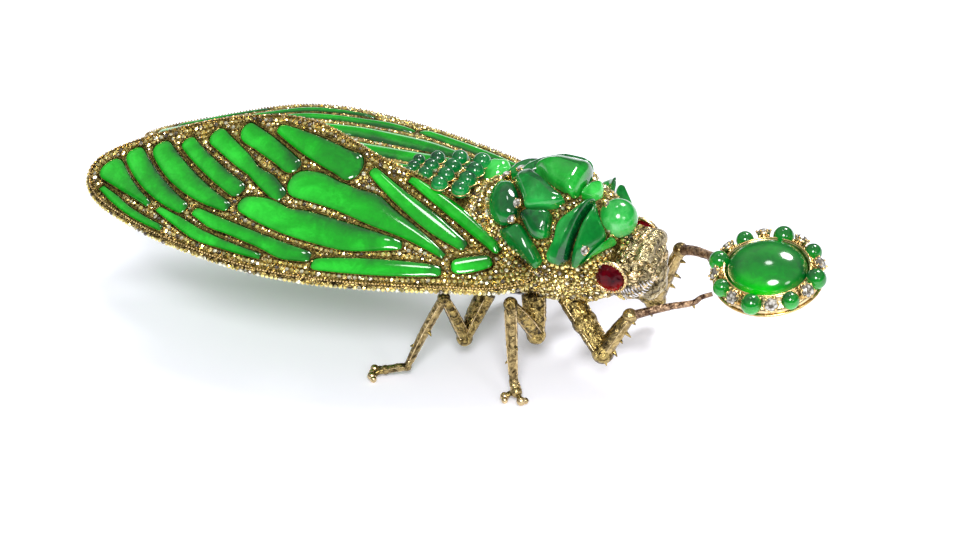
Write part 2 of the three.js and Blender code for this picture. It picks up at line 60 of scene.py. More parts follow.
# Shader nodes: a Shade is one socket, and arithmetic on it adds the nodes.
class Shade:
    def __init__(self, tree, socket=None):
        self.tree = tree
        self.socket = socket

    def add(self, kind, settings=None, sockets=None, out=0):
        node = self.tree.nodes.new(kind)
        for key, value in (settings or {}).items():
            if key == "stops":
                self.setStops(node.color_ramp, value)
            else:
                setattr(node, key, value)
        for key, value in (sockets or {}).items():
            if isinstance(value, Shade):
                self.tree.links.new(value.socket, node.inputs[key])
            else:
                node.inputs[key].default_value = value
        return Shade(self.tree, node.outputs[out])

    def setStops(self, ramp, stops):
        while len(ramp.elements) < len(stops):
            ramp.elements.new(0.5)
        for element, (place, tone) in zip(ramp.elements, stops):
            element.position = place
            element.color = (*tone, 1.0)

    def maths(self, operation, first, second):
        return self.add("ShaderNodeMath", {"operation": operation}, {0: first, 1: second})

    def __add__(self, other):
        return self.maths("ADD", self, other)

    def __radd__(self, other):
        return self.maths("ADD", other, self)

    def __sub__(self, other):
        return self.maths("SUBTRACT", self, other)

    def __rsub__(self, other):
        return self.maths("SUBTRACT", other, self)

    def __mul__(self, other):
        return self.maths("MULTIPLY", self, other)

    def __rmul__(self, other):
        return self.maths("MULTIPLY", other, self)

    def blend(self, low, high):
        # this value mixes two colours
        return self.add("ShaderNodeMix", {"data_type": "RGBA"}, {0: self, 6: low, 7: high}, out=2)

    def ramp(self, stops):
        return self.add("ShaderNodeValToRGB", {"stops": stops}, {"Fac": self})

    def mask(self, low, high, most=1.0):
        # nought below low, most above high
        return self.ramp([(low, (0, 0, 0)), (high, (most, most, most))])

    def noise(self, scale, detail=3.0, roughness=0.5, distortion=0.0):
        place = self.add("ShaderNodeTexCoord", out=3)
        return self.add("ShaderNodeTexNoise", None, {
            "Vector": place, "Scale": scale, "Detail": detail,
            "Roughness": roughness, "Distortion": distortion,
        })

    def cells(self, scale, feature="F1"):
        place = self.add("ShaderNodeTexCoord", out=3)
        return self.add("ShaderNodeTexVoronoi", {"feature": feature}, {"Vector": place, "Scale": scale})

    def attribute(self, name, out=2):
        return self.add("ShaderNodeAttribute", {"attribute_name": name}, out=out)

    def bump(self, strength, distance):
        return self.add("ShaderNodeBump", None, {"Height": self, "Strength": strength, "Distance": distance})


def newMaterial(name, fixed):
    material = bpy.data.materials.new(name)
    material.use_nodes = True
    skin = material.node_tree.nodes["Principled BSDF"]
    for key, value in fixed.items():
        skin.inputs[key].default_value = value

    def feed(**varying):
        for key, value in varying.items():
            material.node_tree.links.new(value.socket, skin.inputs[key.replace("_", " ")])
    return material, Shade(material.node_tree), feed


def jadeMaterial(name, deep, bright, pale, milk=0.12, gloss=0.05):
    # painted glow: light and shade painted on each stone, 0 where it is painted dark, 1 where painted light
    # seems to come through
    material, shade, feed = newMaterial(name, {
        "Roughness": gloss, "IOR": 1.55, "Coat Weight": 0.3, "Coat Roughness": 0.02, "Emission Strength": 0.1,
        "Subsurface Weight": 0.08, "Subsurface Radius": (0.0003, 0.0012, 0.0003), "Subsurface Scale": 1.0,
    })
    cloud = shade.noise(150.0, 4.0, 0.55, 0.8)
    veins = shade.noise(520.0, 4.0, 0.6, 1.6)
    lit = shade.attribute("glow") + (cloud - 0.5) * 0.75 + (veins - 0.5) * 0.22
    wisps = (cloud * veins).mask(0.24, 0.42) * milk
    colour = wisps.blend(lit.ramp([(0.05, deep), (0.55, bright), (1.0, pale)]), (*pale, 1))
    # the same colour is also its emission, a painted glow though the jade is no lamp
    feed(Base_Color=colour, Emission_Color=colour, Roughness=gloss + veins * 0.05,
         Normal=veins.bump(0.05, 0.00005))
    return material


def goldMaterial(name, bright, worn, dark, roughness, grain, relief, wear=0.42):
    # cast gold: bright grains, with dark seams between them: patina in the hollows and painted shade of the
    # crevices
    material, shade, feed = newMaterial(name, {"Metallic": 1.0, "Roughness": roughness})
    lumps = shade.noise(grain * 1.5, 5.0, 0.62, 0.9)
    patina = shade.noise(grain * 0.45, 4.0, 0.6, 0.8)
    seams = shade.cells(grain * 1.4, "DISTANCE_TO_EDGE") + (lumps - 0.5) * 0.3
    stain = patina.mask(wear, wear + 0.2, 0.85)
    # the dark seams: patina and painted shade in the crevices between the grains
    seamShadeAndPatina = seams.ramp([(0.01, (0.9, 0.9, 0.9)), (0.1, (0, 0, 0))])
    cast = lumps.ramp([(0.3, dark), (0.42, worn), (0.56, bright)])
    shown = (stain * 0.6 + seamShadeAndPatina * (0.3 + stain * 0.5)).blend(cast, (*dark, 1))
    feed(Base_Color=shown, Roughness=roughness + lumps * 0.16 + seamShadeAndPatina * 0.2,
         Normal=(lumps * 0.7 + seams * 1.4).bump(0.8, relief))
    return material


def smoothMetal(name, tone, dark, roughness, grain=900.0):
    material, shade, feed = newMaterial(name, {"Metallic": 1.0, "Roughness": roughness})
    smear = shade.noise(grain, 4.0, 0.6, 0.3)
    feed(Base_Color=smear.ramp([(0.32, dark), (0.56, tone)]), Roughness=roughness + smear * 0.15,
         Normal=smear.bump(0.2, 0.00004))
    return material


def stoneMaterial(name, metal, roughness):
    # small cut stones: the tint of each is painted on it
    material, shade, feed = newMaterial(name, {
        "Metallic": metal, "Roughness": roughness, "IOR": 2.2, "Coat Weight": 1.0, "Coat Roughness": 0.02,
    })
    # painted sparkle: pale glints painted on the stones at random spots; the same noise also roughens them
    paintedSparkle = shade.noise(2600.0, 1.0)
    lit = paintedSparkle.mask(0.4, 0.62, 0.3).blend(shade.attribute("tint", out=0), (1.0, 0.94, 0.74, 1))
    feed(Base_Color=lit, Roughness=roughness + paintedSparkle * 0.08)
    return material


def clearMaterial(name):
    material, shade, feed = newMaterial(name, {
        "Roughness": 0.02, "IOR": 2.2, "Transmission Weight": 0.4, "Coat Weight": 1.0,
    })
    # painted reflections: bright, grey and dark patches painted on the clear stones as the flashes and dark
    # facets of a cut stone
    tones = [(0.2, (1.0, 0.98, 0.94)), (0.42, (0.7, 0.66, 0.56)), (0.6, (0.16, 0.14, 0.1))]
    feed(Base_Color=shade.cells(1500.0).ramp(tones))
    return material


def rubyMaterial(name):
    material, shade, feed = newMaterial(name, {
        "Roughness": 0.03, "IOR": 1.36, "Specular IOR Level": 0.3, "Emission Strength": 0.16,
    })
    spots = shade.noise(700.0, 2.0)
    tones = [(0.1, (0.02, 0.0, 0.002)), (0.5, (0.2, 0.0, 0.004)), (0.95, (0.62, 0.01, 0.03))]
    # painted light and shade: the painted glow, with random spots, picks dark to bright red; the colour is
    # also its emission, a painted glow
    colour = (shade.attribute("glow") + (spots - 0.5) * 0.45).ramp(tones)
    feed(Base_Color=colour, Emission_Color=colour, Roughness=spots * 0.08)
    return material


# jade: dark, middle and pale colours, picked by the painted glow and by cloudy tone, then milk and gloss
jades = {
    "wingJade": [(0.0, 0.06, 0.004), (0.0, 0.31, 0.004), (0.02, 0.66, 0.03)],
    "bodyJade": [(0.0, 0.03, 0.008), (0.0, 0.2, 0.02), (0.03, 0.5, 0.08)],
    "shieldJade": [(0.0, 0.05, 0.008), (0.0, 0.28, 0.014), (0.06, 0.6, 0.09)],
    "beadJade": [(0.0, 0.04, 0.012), (0.0, 0.24, 0.04), (0.05, 0.5, 0.12)],
    "clusterJade": [(0.0, 0.035, 0.01), (0.0, 0.2, 0.01), (0.0, 0.58, 0.004), 0.02, 0.1],
    "paleJade": [(0.0, 0.18, 0.02), (0.02, 0.4, 0.05), (0.2, 0.66, 0.24), 0.12, 0.14],
}
# cast gold: bright, worn and dark colours, then roughness, grain, relief and wear
golds = {
    "oldGold": [(0.66, 0.49, 0.17), (0.2, 0.14, 0.045), (0.014, 0.01, 0.005), 0.12, 560.0, 0.0004],
    "nuggetGold": [(0.7, 0.58, 0.32), (0.3, 0.23, 0.1), (0.03, 0.022, 0.012), 0.14, 480.0, 0.0005, 0.47],
    # the bed between the small stones is a darker copy of the gold: painted shade of the gaps
    "bedGold": [(0.26, 0.2, 0.05), (0.08, 0.055, 0.014), (0.005, 0.004, 0.002), 0.35, 1500.0, 0.0002],
    "shinGold": [(0.5, 0.33, 0.2), (0.24, 0.14, 0.08), (0.04, 0.02, 0.015), 0.24, 800.0, 0.0003],
    "shankGold": [(0.56, 0.42, 0.18), (0.24, 0.17, 0.07), (0.025, 0.018, 0.01), 0.1, 330.0, 0.0003, 0.46],
}
# smooth metal: colour, dark colour, roughness and grain
metals = {
    "paleGold": [(0.86, 0.68, 0.38), (0.34, 0.23, 0.09), 0.16, 700.0],
    "grainGold": [(0.86, 0.64, 0.28), (0.4, 0.25, 0.08), 0.14],
    "greyMetal": [(0.55, 0.54, 0.53), (0.2, 0.19, 0.18), 0.24],
    "silver": [(0.88, 0.88, 0.88), (0.45, 0.45, 0.48), 0.14],
    "darkSteel": [(0.4, 0.39, 0.4), (0.12, 0.11, 0.12), 0.2],
}
finish = {"smallStone": stoneMaterial("smallStone", 0.8, 0.06), "clearStone": clearMaterial("clearStone"),
          "ruby": rubyMaterial("ruby")}
for make, kinds in ((jadeMaterial, jades), (goldMaterial, golds), (smoothMetal, metals)):
    for name, values in kinds.items():
        finish[name] = make(name, *values)
print("finishes made,", len(finish))


# Pieces: every mesh is made here and rides on a body.
def makePiece(name, points, faces, finishes, slot="gold", body="root", stands=(), which=None, smooth=True,
              glow=None, tint=None):
    mesh = bpy.data.meshes.new(name)
    mesh.from_pydata(rowFrame(points).tolist(), [], faces)
    for key in finishes:
        mesh.materials.append(finish[key])
    if which is not None:
        mesh.polygons.foreach_set("material_index", np.asarray(which, np.int32))
    mesh.polygons.foreach_set("use_smooth", np.full(len(mesh.polygons), smooth))
    if glow is not None:
        mesh.attributes.new("glow", "FLOAT", "POINT").data.foreach_set("value", np.asarray(glow, np.float32))
    if tint is not None:
        full = np.column_stack([tint, np.ones(len(tint))]).astype(np.float32)
        mesh.attributes.new("tint", "FLOAT_COLOR", "POINT").data.foreach_set("color", full.ravel())
    mesh.update()
    piece = bpy.data.objects.new(name, mesh)
    bpy.context.scene.collection.objects.link(piece)
    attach(piece, body)
    if stands:
        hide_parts(*stands)


class Heap:
    # gathers many small forms into one mesh
    def __init__(self):
        self.points, self.faces, self.which, self.smooth, self.glow, self.tint = [], [], [], [], [], []
        self.count = 0

    def put(self, form, which=0, smooth=True, glow=0.4, tint=(0.8, 0.8, 0.8)):
        points, faces = form
        count = len(points)
        self.points.append(np.asarray(points, float))
        self.faces.extend([tuple(i + self.count for i in face) for face in faces])
        self.which.extend(np.broadcast_to(which, len(faces)).tolist())
        self.smooth.extend([smooth] * len(faces))
        self.glow.append(np.broadcast_to(np.asarray(glow, float), count))
        self.tint.append(np.broadcast_to(np.asarray(tint, float), (count, 3)))
        self.count += count

    def make(self, name, finishes, **rest):
        print(f"{name}: {sum(len(face) - 2 for face in self.faces)} triangles")
        makePiece(name, np.concatenate(self.points), self.faces, finishes, which=self.which,
                  smooth=self.smooth, glow=np.concatenate(self.glow), tint=np.concatenate(self.tint), **rest)


def camel(node):
    first, *others = node.split("_")
    return first + "".join(word.title() for word in others)


def unit(vectors):
    vectors = np.asarray(vectors, float)
    return vectors / (np.linalg.norm(vectors, axis=-1, keepdims=True) + tiny)


def flip(faces):
    return [tuple(reversed(face)) for face in faces]


def gridFaces(rows, columns, wrapRows=False, wrapColumns=False):
    faces = []
    for i in range(rows if wrapRows else rows - 1):
        here, there = i * columns, (i + 1) % rows * columns
        for j in range(columns if wrapColumns else columns - 1):
            k = (j + 1) % columns
            faces.append((here + j, here + k, there + k, there + j))
    return faces


def rings(levels, count):
    # points on level rings of [half length, half width, height, and perhaps a shift in steps]
    points = []
    for half, wide, height, *shift in levels:
        turn = (np.arange(count) + sum(shift)) * 2 * math.pi / count
        points.append(np.column_stack([half * np.cos(turn), wide * np.sin(turn), np.full(count, height)]))
    return np.concatenate(points)


def circle(radius, count=14):
    return rings([(radius, radius, 0)], count)[:, :2]


def ringWalls(levels, sides, alternate=False):
    # triangles between rings, with the diagonals turned at every other ring where they alternate
    faces = []
    for level in range(levels - 1):
        low, high = level * sides, (level + 1) * sides
        for j in range(sides):
            k = (j + 1) % sides
            if alternate and level % 2:
                faces += [(low + j, high + j, high + k), (low + j, high + k, low + k)]
            else:
                faces += [(low + j, high + j, low + k), (high + j, high + k, low + k)]
    return faces


def roundForm(centre, radii, across=20, down=12):
    points = [[0, 0, 1]]
    for i in range(1, down):
        rise = math.pi * i / down
        points += rings([(math.sin(rise), math.sin(rise), math.cos(rise))], across).tolist()
    points.append([0, 0, -1])
    last = len(points) - 1
    faces = [(0, 1 + j, 1 + (j + 1) % across) for j in range(across)]
    for low in range(1, last - across, across):
        for j in range(across):
            k = (j + 1) % across
            faces.append((low + j, low + across + j, low + across + k, low + k))
    faces += [(last, last - 1 - j, last - 1 - (j + 1) % across) for j in range(across)]
    return np.array(points) * np.array(radii) + np.array(centre), faces


def sweep(path, radii, sides=10, closed=False, flat=1.0, up=(0, 0, 1)):
    # a tube round a path, flat is its height as a share of its width
    path = np.asarray(path, float)
    count = len(path)
    ahead = np.roll(path, -1, 0) - np.roll(path, 1, 0)
    if not closed:
        ahead[0] = path[1] - path[0]
        ahead[-1] = path[-1] - path[-2]
    ahead = unit(ahead)
    aside = np.cross(ahead, np.array(up, float))
    weak = np.linalg.norm(aside, axis=1) < 0.1
    aside[weak] = np.cross(ahead[weak], np.array([0, 1.0, 0]))
    aside = unit(aside)
    above = np.cross(aside, ahead)
    around = circle(1.0, sides)
    ring = aside[:, None] * around[None, :, :1] + above[:, None] * (around[:, 1:] * flat)[None]
    radii = np.broadcast_to(np.asarray(radii, float), (count,))
    points = (path[:, None] + ring * radii[:, None, None]).reshape(-1, 3)
    faces = gridFaces(count, sides, closed, True)
    if not closed:
        faces.append(tuple(range(sides)))
        faces.append(tuple(reversed(range((count - 1) * sides, count * sides))))
    return points, flip(faces)


def catmull(points, steps, closed=False):
    # a smooth line through points
    points = np.asarray(points, float)
    count = len(points)
    if closed:
        ends = points[np.arange(-1, count + 2) % count]
    else:
        ends = points[np.clip(np.arange(-1, count + 1), 0, count - 1)]
    out = []
    for before, start, end, after in zip(ends, ends[1:], ends[2:], ends[3:]):
        for t in np.arange(steps) / steps:
            out.append(0.5 * (2 * start + (end - before) * t
                              + (2 * before - 5 * start + 4 * end - after) * t * t
                              + (3 * start - before - 3 * end + after) * t ** 3))
    if not closed:
        out.append(points[-1])
    return np.array(out)


# Small cut stones, and the grains of metal that hold them
gems = {
    "sides": 6, "levels": [(0.52, 0.42), (1.0, 0.04), (0.85, -0.4)],  # share of the radius, height
    "tilt": 0.28, "lift": 0.3, "grainLift": 0.9, "gap": 0.05, "margin": 0.2,
    "colours": [(0.96, 0.8, 0.2), (1.0, 0.95, 0.66), (0.76, 0.58, 0.08), (0.06, 0.035, 0.01),
                (0.5, 0.41, 0.08)],
    "mixed": [0.34, 0.18, 0.26, 0.11, 0.11],
    "yellow": [0.4, 0.14, 0.4, 0.0, 0.06],
    "pale": [0.3, 0.36, 0.1, 0.16, 0.08],
}


def cutForm():
    sides = gems["sides"]
    faces = [tuple(range(sides))]
    for low in (0, sides):
        for j in range(sides):
            k = (j + 1) % sides
            faces.append((low + j, low + sides + j, low + sides + k, low + k))
    return rings([(share, share, height) for share, height in gems["levels"]], sides), faces


cutStone = cutForm()
grainForm = (np.array([[1, 0, -0.3], [0, 1, -0.3], [-1, 0, -0.3], [0, -1, -0.3], [0, 0, 0.9]]),
             [(0, 1, 4), (1, 2, 4), (2, 3, 4), (3, 0, 4)])


def spread(heap, template, places, normals, radii, lift, which, tilt=0.0, tints=None):
    # copies a template to each place, standing along its normal
    shape, faces = template
    count = len(places)
    normals = unit(normals + chance.normal(0, 1, (count, 3)) * tilt)
    helper = np.where(np.abs(normals[:, :1]) < 0.8, np.array([[1.0, 0, 0]]), np.array([[0, 1.0, 0]]))
    first = unit(np.cross(normals, helper))
    second = np.cross(normals, first)
    spin = chance.uniform(0, 2 * math.pi, count)[:, None]
    turned = first * np.cos(spin) + second * np.sin(spin)
    crossed = np.cross(normals, turned)
    size = np.broadcast_to(np.asarray(radii, float), count)[:, None, None]
    local = (turned[:, None] * shape[None, :, :1] + crossed[:, None] * shape[None, :, 1:2]
             + normals[:, None] * shape[None, :, 2:])
    raised = normals * np.broadcast_to(np.asarray(lift, float), count)[:, None]
    points = (places[:, None] + local * size + raised[:, None]).reshape(-1, 3)
    base = np.arange(count) * len(shape)
    table = [tuple(row) for face in faces for row in (base[:, None] + np.array(face)[None]).tolist()]
    tint = 0.8 if tints is None else np.repeat(tints, len(shape), 0)
    heap.put((points, table), which, False, 0.4, tint)


def pickTints(count, shares="mixed"):
    colours = np.array(gems["colours"])
    tints = colours[chance.choice(len(colours), count, p=gems[shares])]
    return np.clip(tints * chance.uniform(0.75, 1.1, (count, 1)), 0, 1)


def insideOutline(points, outline):
    # even and odd crossings, for many points at once
    x, y = points[:, 0], points[:, 1]
    inside = np.zeros(len(points), bool)
    for (ax, ay), (bx, by) in zip(outline, np.roll(outline, -1, 0)):
        crosses = (ay > y) != (by > y)
        inside ^= crosses & (x < (bx - ax) * (y - ay) / (by - ay + tiny) + ax)
    return inside


def between(points, boundary, holes):
    keep = insideOutline(points, boundary)
    for hole in holes:
        keep &= ~insideOutline(points, hole)
    return keep


def treeOf(places):
    tree = kdtree.KDTree(len(places))
    for i, (x, y) in enumerate(places):
        tree.insert((x, y, 0), i)
    tree.balance()
    return tree


def nearOutlines(outlines, step=0.15):
    # a tree of points along the outlines, to measure how far a place is from them
    samples = []
    for outline in outlines:
        for a, b in zip(outline, np.roll(outline, -1, 0)):
            pieces = max(1, int(np.linalg.norm(b - a) / step))
            samples.extend([a + (b - a) * t for t in np.arange(pieces) / pieces])
    return treeOf(samples)


def signedArea(outline):
    following = np.roll(outline, -1, 0)
    return (outline[:, 0] * following[:, 1] - following[:, 0] * outline[:, 1]).sum()


def offsetRow(outline, distance, spacing):
    # places along a closed outline, moved to its inner side by a distance
    tangent = unit(np.roll(outline, -1, 0) - np.roll(outline, 1, 0))
    inwards = np.column_stack([-tangent[:, 1], tangent[:, 0]]) * (1 if signedArea(outline) > 0 else -1)
    ring = outline + inwards * distance
    ring = np.vstack([ring, ring[:1]])
    lengths = np.concatenate([[0], np.cumsum(np.linalg.norm(np.diff(ring, axis=0), axis=1))])
    marks = np.arange(0, lengths[-1], spacing)
    return np.column_stack([np.interp(marks, lengths, ring[:, 0]), np.interp(marks, lengths, ring[:, 1])])


def fillRegion(boundary, holes, tiers, attempts, seeds=None, allowed=None):
    # packs circles inside a boundary and outside the holes, largest first
    tree = nearOutlines([boundary, *holes])
    gap = gems["gap"]
    cell = 2 * tiers[0] + gap
    taken, chosen = {}, []

    def free(x, y, radius):
        column, row = int(x // cell), int(y // cell)
        for i in (column - 1, column, column + 1):
            for j in (row - 1, row, row + 1):
                for ox, oy, other in taken.get((i, j), ()):
                    if (ox - x) ** 2 + (oy - y) ** 2 < (radius + other + gap) ** 2:
                        return False
        return True

    for k, radius in enumerate(tiers):
        batch = chance.uniform(boundary.min(0), boundary.max(0), (attempts * (k + 1), 2))
        if k == 0 and seeds is not None:
            batch = np.vstack([*seeds, batch])
        keep = between(batch, boundary, holes)
        if allowed is not None:
            keep &= allowed(batch)
        for x, y in batch[keep]:
            if tree.find((x, y, 0))[2] < radius + gems["margin"] or not free(x, y, radius):
                continue
            taken.setdefault((int(x // cell), int(y // cell)), []).append((x, y, radius))
            chosen.append((x, y, radius))
    return np.array(chosen)


def grainPlaces(stones, grain, tries=5):
    # grains of metal in the spaces beside the stones
    look = treeOf(stones[:, :2])
    used, places = set(), []
    for x, y, radius in stones:
        start = chance.uniform(0, 2 * math.pi)
        reach = radius + grain * 0.5
        for k in range(tries):
            angle = start + 2 * math.pi * k / tries
            px, py = x + reach * math.cos(angle), y + reach * math.sin(angle)
            key = (round(px / (grain * 2.2)), round(py / (grain * 2.2)))
            hit = look.find((px, py, 0))
            if key in used or hit[2] < stones[hit[1]][2] * 0.86:
                continue
            used.add(key)
            places.append((px, py))
    return np.array(places)


def surfaceFrames(surface, places, outward, step=0.05):
    # where places on a surface are, and which way it faces there
    u, v = places[:, 0], places[:, 1]
    here = surface(u, v)
    normal = unit(np.cross(surface(u + step, v) - here, surface(u, v + step) - here))
    return here, normal * np.where((normal * outward(here)).sum(1) < 0, -1.0, 1.0)[:, None]


def setStones(heap, surface, outward, stones, which, grain=0.16, shares="mixed"):
    here, normal = surfaceFrames(surface, stones, outward)
    radii = stones[:, 2]
    tints = pickTints(len(radii), shares)
    spread(heap, cutStone, here, normal, radii, radii * gems["lift"], which[0], gems["tilt"], tints)
    here, normal = surfaceFrames(surface, grainPlaces(stones, grain), outward)
    spread(heap, grainForm, here, normal, grain, grain * gems["grainLift"], which[1])


# Body form: the same rows as the solid, read at any place along it
torso = {
    "length": 70.0, "width": 23.0, "height": 24.0, "belly": 12.8, "front": 40.5, "fullness": 0.88,
    "rows": [
        [0, 0.06, 0.05, 0.05], [0.08, 0.36, 0.24, 0.42], [0.25, 0.66, 0.46, 0.76], [0.42, 0.8, 0.6, 0.9],
        [0.6, 0.84, 0.7, 0.95], [0.68, 0.93, 0.9, 0.98], [0.77, 1, 1.06, 1], [0.84, 1, 1.04, 0.99],
        [0.91, 0.92, 0.8, 0.92], [0.96, 0.72, 0.5, 0.78], [1, 0.3, 0.16, 0.4],
    ],
    "round": 10.5,  # millimetres of skin for each radian round it
    "saddle": [1.5, 0.9, 27.6], "saddleRadii": [13.5, 7.2, 6.6], "saddleReach": 1.4,
    # raised rings: place, height, half width, degrees round that they reach
    "collars": [[11.6, 1.0, 1.0, 50], [29.7, 0.9, 0.7, 74], [37.6, 0.35, 1.3, 180]],
    "fade": 10,  # degrees over which a collar ends
    "folds": [-22, -17, -12, -7, -2], "foldDepth": 0.35, "foldHalf": 0.5,
}
torso["tail"] = torso["front"] - torso["length"]
torso["axis"] = torso["belly"] + torso["height"] / 2


def torsoRow(x):
    rows = np.array(torso["rows"])
    share = (np.asarray(x, float) - torso["tail"]) / torso["length"]
    i = np.clip(np.searchsorted(rows[:, 0], share) - 1, 0, len(rows) - 2)
    t = np.clip((share - rows[i, 0]) / (rows[i + 1, 0] - rows[i, 0]), 0, 1)
    ease = t * t * (3 - 2 * t) * 0.35 + t * 0.65
    return rows[i, 1:] + (rows[i + 1, 1:] - rows[i, 1:]) * ease[..., None]


def torsoPoint(x, angle, lift=0.0):
    # angle is 0 on top of the back and grows towards the near side
    row = torsoRow(x)
    angle = np.asarray(angle, float)
    above = np.cos(angle) > 0
    wide = row[..., 0] * torso["width"] / 2 + lift
    tall = np.where(above, row[..., 1], row[..., 2]) * torso["height"] / 2 + lift
    power = np.where(above, torso["fullness"], 1.0)
    across = np.sign(np.sin(angle)) * np.abs(np.sin(angle)) ** power
    rise = np.sign(np.cos(angle)) * np.abs(np.cos(angle)) ** power
    along = np.broadcast_to(np.asarray(x, float), across.shape)
    return np.stack([along, -wide * across, torso["axis"] + tall * rise], -1)


def torsoSkin(u, v):
    # the cast surface: collars, folds and the saddle that carries the beads
    extra = 0.0
    for at, rise, half, reach in torso["collars"]:
        ends = np.clip((reach - np.abs(np.degrees(v / torso["round"]))) / torso["fade"], 0, 1)
        extra = extra + rise * ends * np.exp(-((u - at) / half) ** 2)
    for at in torso["folds"]:
        extra = extra - torso["foldDepth"] * np.exp(-((u - at) / torso["foldHalf"]) ** 2)
    points = torsoPoint(u, v / torso["round"], extra)
    (cx, cy, cz), (rx, ry, rz) = torso["saddle"], torso["saddleRadii"]
    inside = 1 - ((points[..., 0] - cx) / rx) ** 2 - ((points[..., 1] - cy) / ry) ** 2
    top = cz + rz * np.sqrt(np.clip(inside, 0, 1))
    onBack = (inside > 0) & (np.abs(v) < torso["round"] * torso["saddleReach"])
    points[..., 2] = np.where(onBack, np.maximum(points[..., 2], top), points[..., 2])
    return points


def fromAxis(points):
    return (points - np.array([0, 0, torso["axis"]])) * np.array([0, 1, 1])


def insideTorso(points, margin=0.0):
    row = torsoRow(points[:, 0])
    up = points[:, 2] > torso["axis"]
    wide = row[:, 0] * torso["width"] / 2 + margin
    tall = np.where(up, row[:, 1], row[:, 2]) * torso["height"] / 2 + margin
    power = np.where(up, 2 / torso["fullness"], 2.0)
    held = (points[:, 0] > torso["tail"]) & (points[:, 0] < torso["front"])
    reach = np.abs(points[:, 1] / wide) ** power + np.abs((points[:, 2] - torso["axis"]) / tall) ** power
    return held & (reach < 1)


def onSkin(places):
    # [millimetres along, degrees round] to skin places
    places = np.asarray(places, float)
    return np.column_stack([places[:, 0], np.radians(places[:, 1]) * torso["round"]])


# Jade on the thorax: outlines in [millimetres along, degrees round], the spine that each rises to, its form
# [height, where the edge facet ends, ridge, roundness], and its painted glow of light and shade [level,
# change, direction]
thorax = {
    "far": [14, 1.0],  # degrees added and share, for the copies on the far side
    "edge": 0.62,  # how far the stones' feet stand off the gold
    "sunk": -0.4,  # height of the lowest ring, out of sight in the gold
    "crease": 0.03,  # half width of the bend at the end of the edge facet
    "wall": [0.55, 0.06],  # share of the height that the steep edge takes, and how far in it goes
    "fill": 0.92,  # share of its height that a stone reaches without its ridge
    "steps": [0, 0, 0.015, 0.05, 0.1, 0.17, 0.48, 0.6, 0.72, 0.84, 0.93, 1],  # rings from rim to spine
    "pairs": {
        "rear_stone": {
            "outline": [[14.4, 0], [17.2, 6], [19.8, 22], [20.9, 36], [21.0, 46], [19.8, 54], [18.1, 56],
                        [16.2, 51], [14.6, 40], [13.5, 24], [13.0, 10], [13.3, 2]],
            "spine": [[16.2, 19], [17.8, 38]], "form": [2.7, 0.16, 0.0, 1.0], "glow": [0.3, 0.2, 170]},
        "side_stone": {
            "outline": [[17.1, 1], [17.4, -6], [19.2, -8], [21.8, -1], [24.7, 9], [27.2, 16], [29.8, 23],
                        [29.2, 29], [27.7, 33], [25.0, 36.5], [22.6, 37], [21.4, 28], [19.4, 14]],
            "spine": [[20.4, 6], [27.4, 24]], "form": [2.3, 0.34, 0.5, 0.35], "glow": [0.4, 0.34, 100]},
        "flank_stone": {
            "outline": [[22.4, 39.5], [25.0, 38.5], [27.3, 36.5], [28.2, 42], [28.2, 51], [28.3, 60],
                        [26.6, 64], [24.9, 62], [23.4, 54], [21.9, 46]],
            "spine": [[25, 46], [26.8, 55]], "form": [2.2, 0.3, 0.2, 0.5], "glow": [0.2, 0.3, 60]},
        "flank_petal": {
            "outline": [[18.0, 60], [19.4, 56.5], [21.0, 53], [22.1, 53], [23.6, 60], [25.3, 70], [26.9, 82],
                        [26.3, 88], [24.8, 86], [22.6, 80], [20.3, 74], [18.4, 65]],
            "spine": [[20.4, 60], [26, 83]], "form": [1.7, 0.4, 0.55, 0.6], "glow": [0.34, 0.2, 45]},
        "neck_petal": {
            "outline": [[34.2, 4], [34.0, 15], [33.5, 32], [33.2, 48], [32.8, 66], [32.4, 77], [31.3, 82],
                        [29.8, 82], [28.7, 80], [28.3, 75], [29.0, 67], [29.6, 59], [29.6, 50], [30.0, 42],
                        [30.9, 34], [32.2, 22], [33.3, 8]],
            "spine": [[33.2, 20], [31, 74]], "form": [2.2, 0.36, 0.4, 0.7], "glow": [0.3, 0.34, 170],
            "far": [40, 0.6]},
        "neck_leaf": {
            "outline": [[34.6, 7], [35.4, 13], [36.4, 20], [37.6, 29], [37.6, 44], [36.6, 61], [35.4, 74],
                        [34.2, 82], [33.3, 80], [33.3, 69], [33.7, 50], [34.0, 34], [34.4, 19]],
            "spine": [[35.2, 22], [34.3, 76]], "form": [1.8, 0.3, 0.6, 0.4], "glow": [0.36, 0.22, 90],
            "far": [40, 0.6]},
    },
    "shield": {
        "outline": [[20.9, -8], [24.7, 4], [27.6, 10], [30.2, 14.5], [31.1, 8], [31.4, -6], [31.2, -20],
                    [30.2, -29], [27.6, -28], [24.7, -27], [21.4, -24], [19.8, -18], [19.8, -11]],
        "spine": [[22.6, -12], [29.4, -8]], "form": [2.8, 0.3, 0.3, 0.4], "glow": [0.34, 0.36, 130]},
    "collarGem": {
        "outline": [[31.6, 7], [31.9, -4], [32.5, -17], [33.6, -18], [34.2, -10], [33.9, -2], [33.2, 2.5]],
        "spine": [[32.5, -3], [33.2, -10]], "form": [1.8, 0.4, 0.3, 0.6], "glow": [0.5, 0.3, 0]},
    "neckBlade": {
        "outline": [[38.4, 31], [39.1, 31], [38.8, 45], [37.6, 59], [36.0, 72], [34.7, 81], [35.3, 75],
                    [37, 58], [38, 44]],
        "spine": [[38.5, 38], [35.8, 73]], "form": [1.2, 0.4, 0.3, 0.6], "glow": [0.4, 0.2, 0],
        "far": [40, 0.6]},
    "paleOval": {
        "outline": circle(1.0, 20) * [2.7, -15.5] + [10.3, -34],
        "spine": [[9.4, -33], [11.2, -35]], "form": [3.2, 0.2, 0.0, 1.0], "glow": [0.7, 0.2, 0]},
    "diamonds": [[21.1, 34], [20.6, 48.5], [34.5, 62], [17.5, -14], [35.4, 2], [15.2, -7]],
    "diamondRadius": 0.95, "diamondRise": 1.7,
}


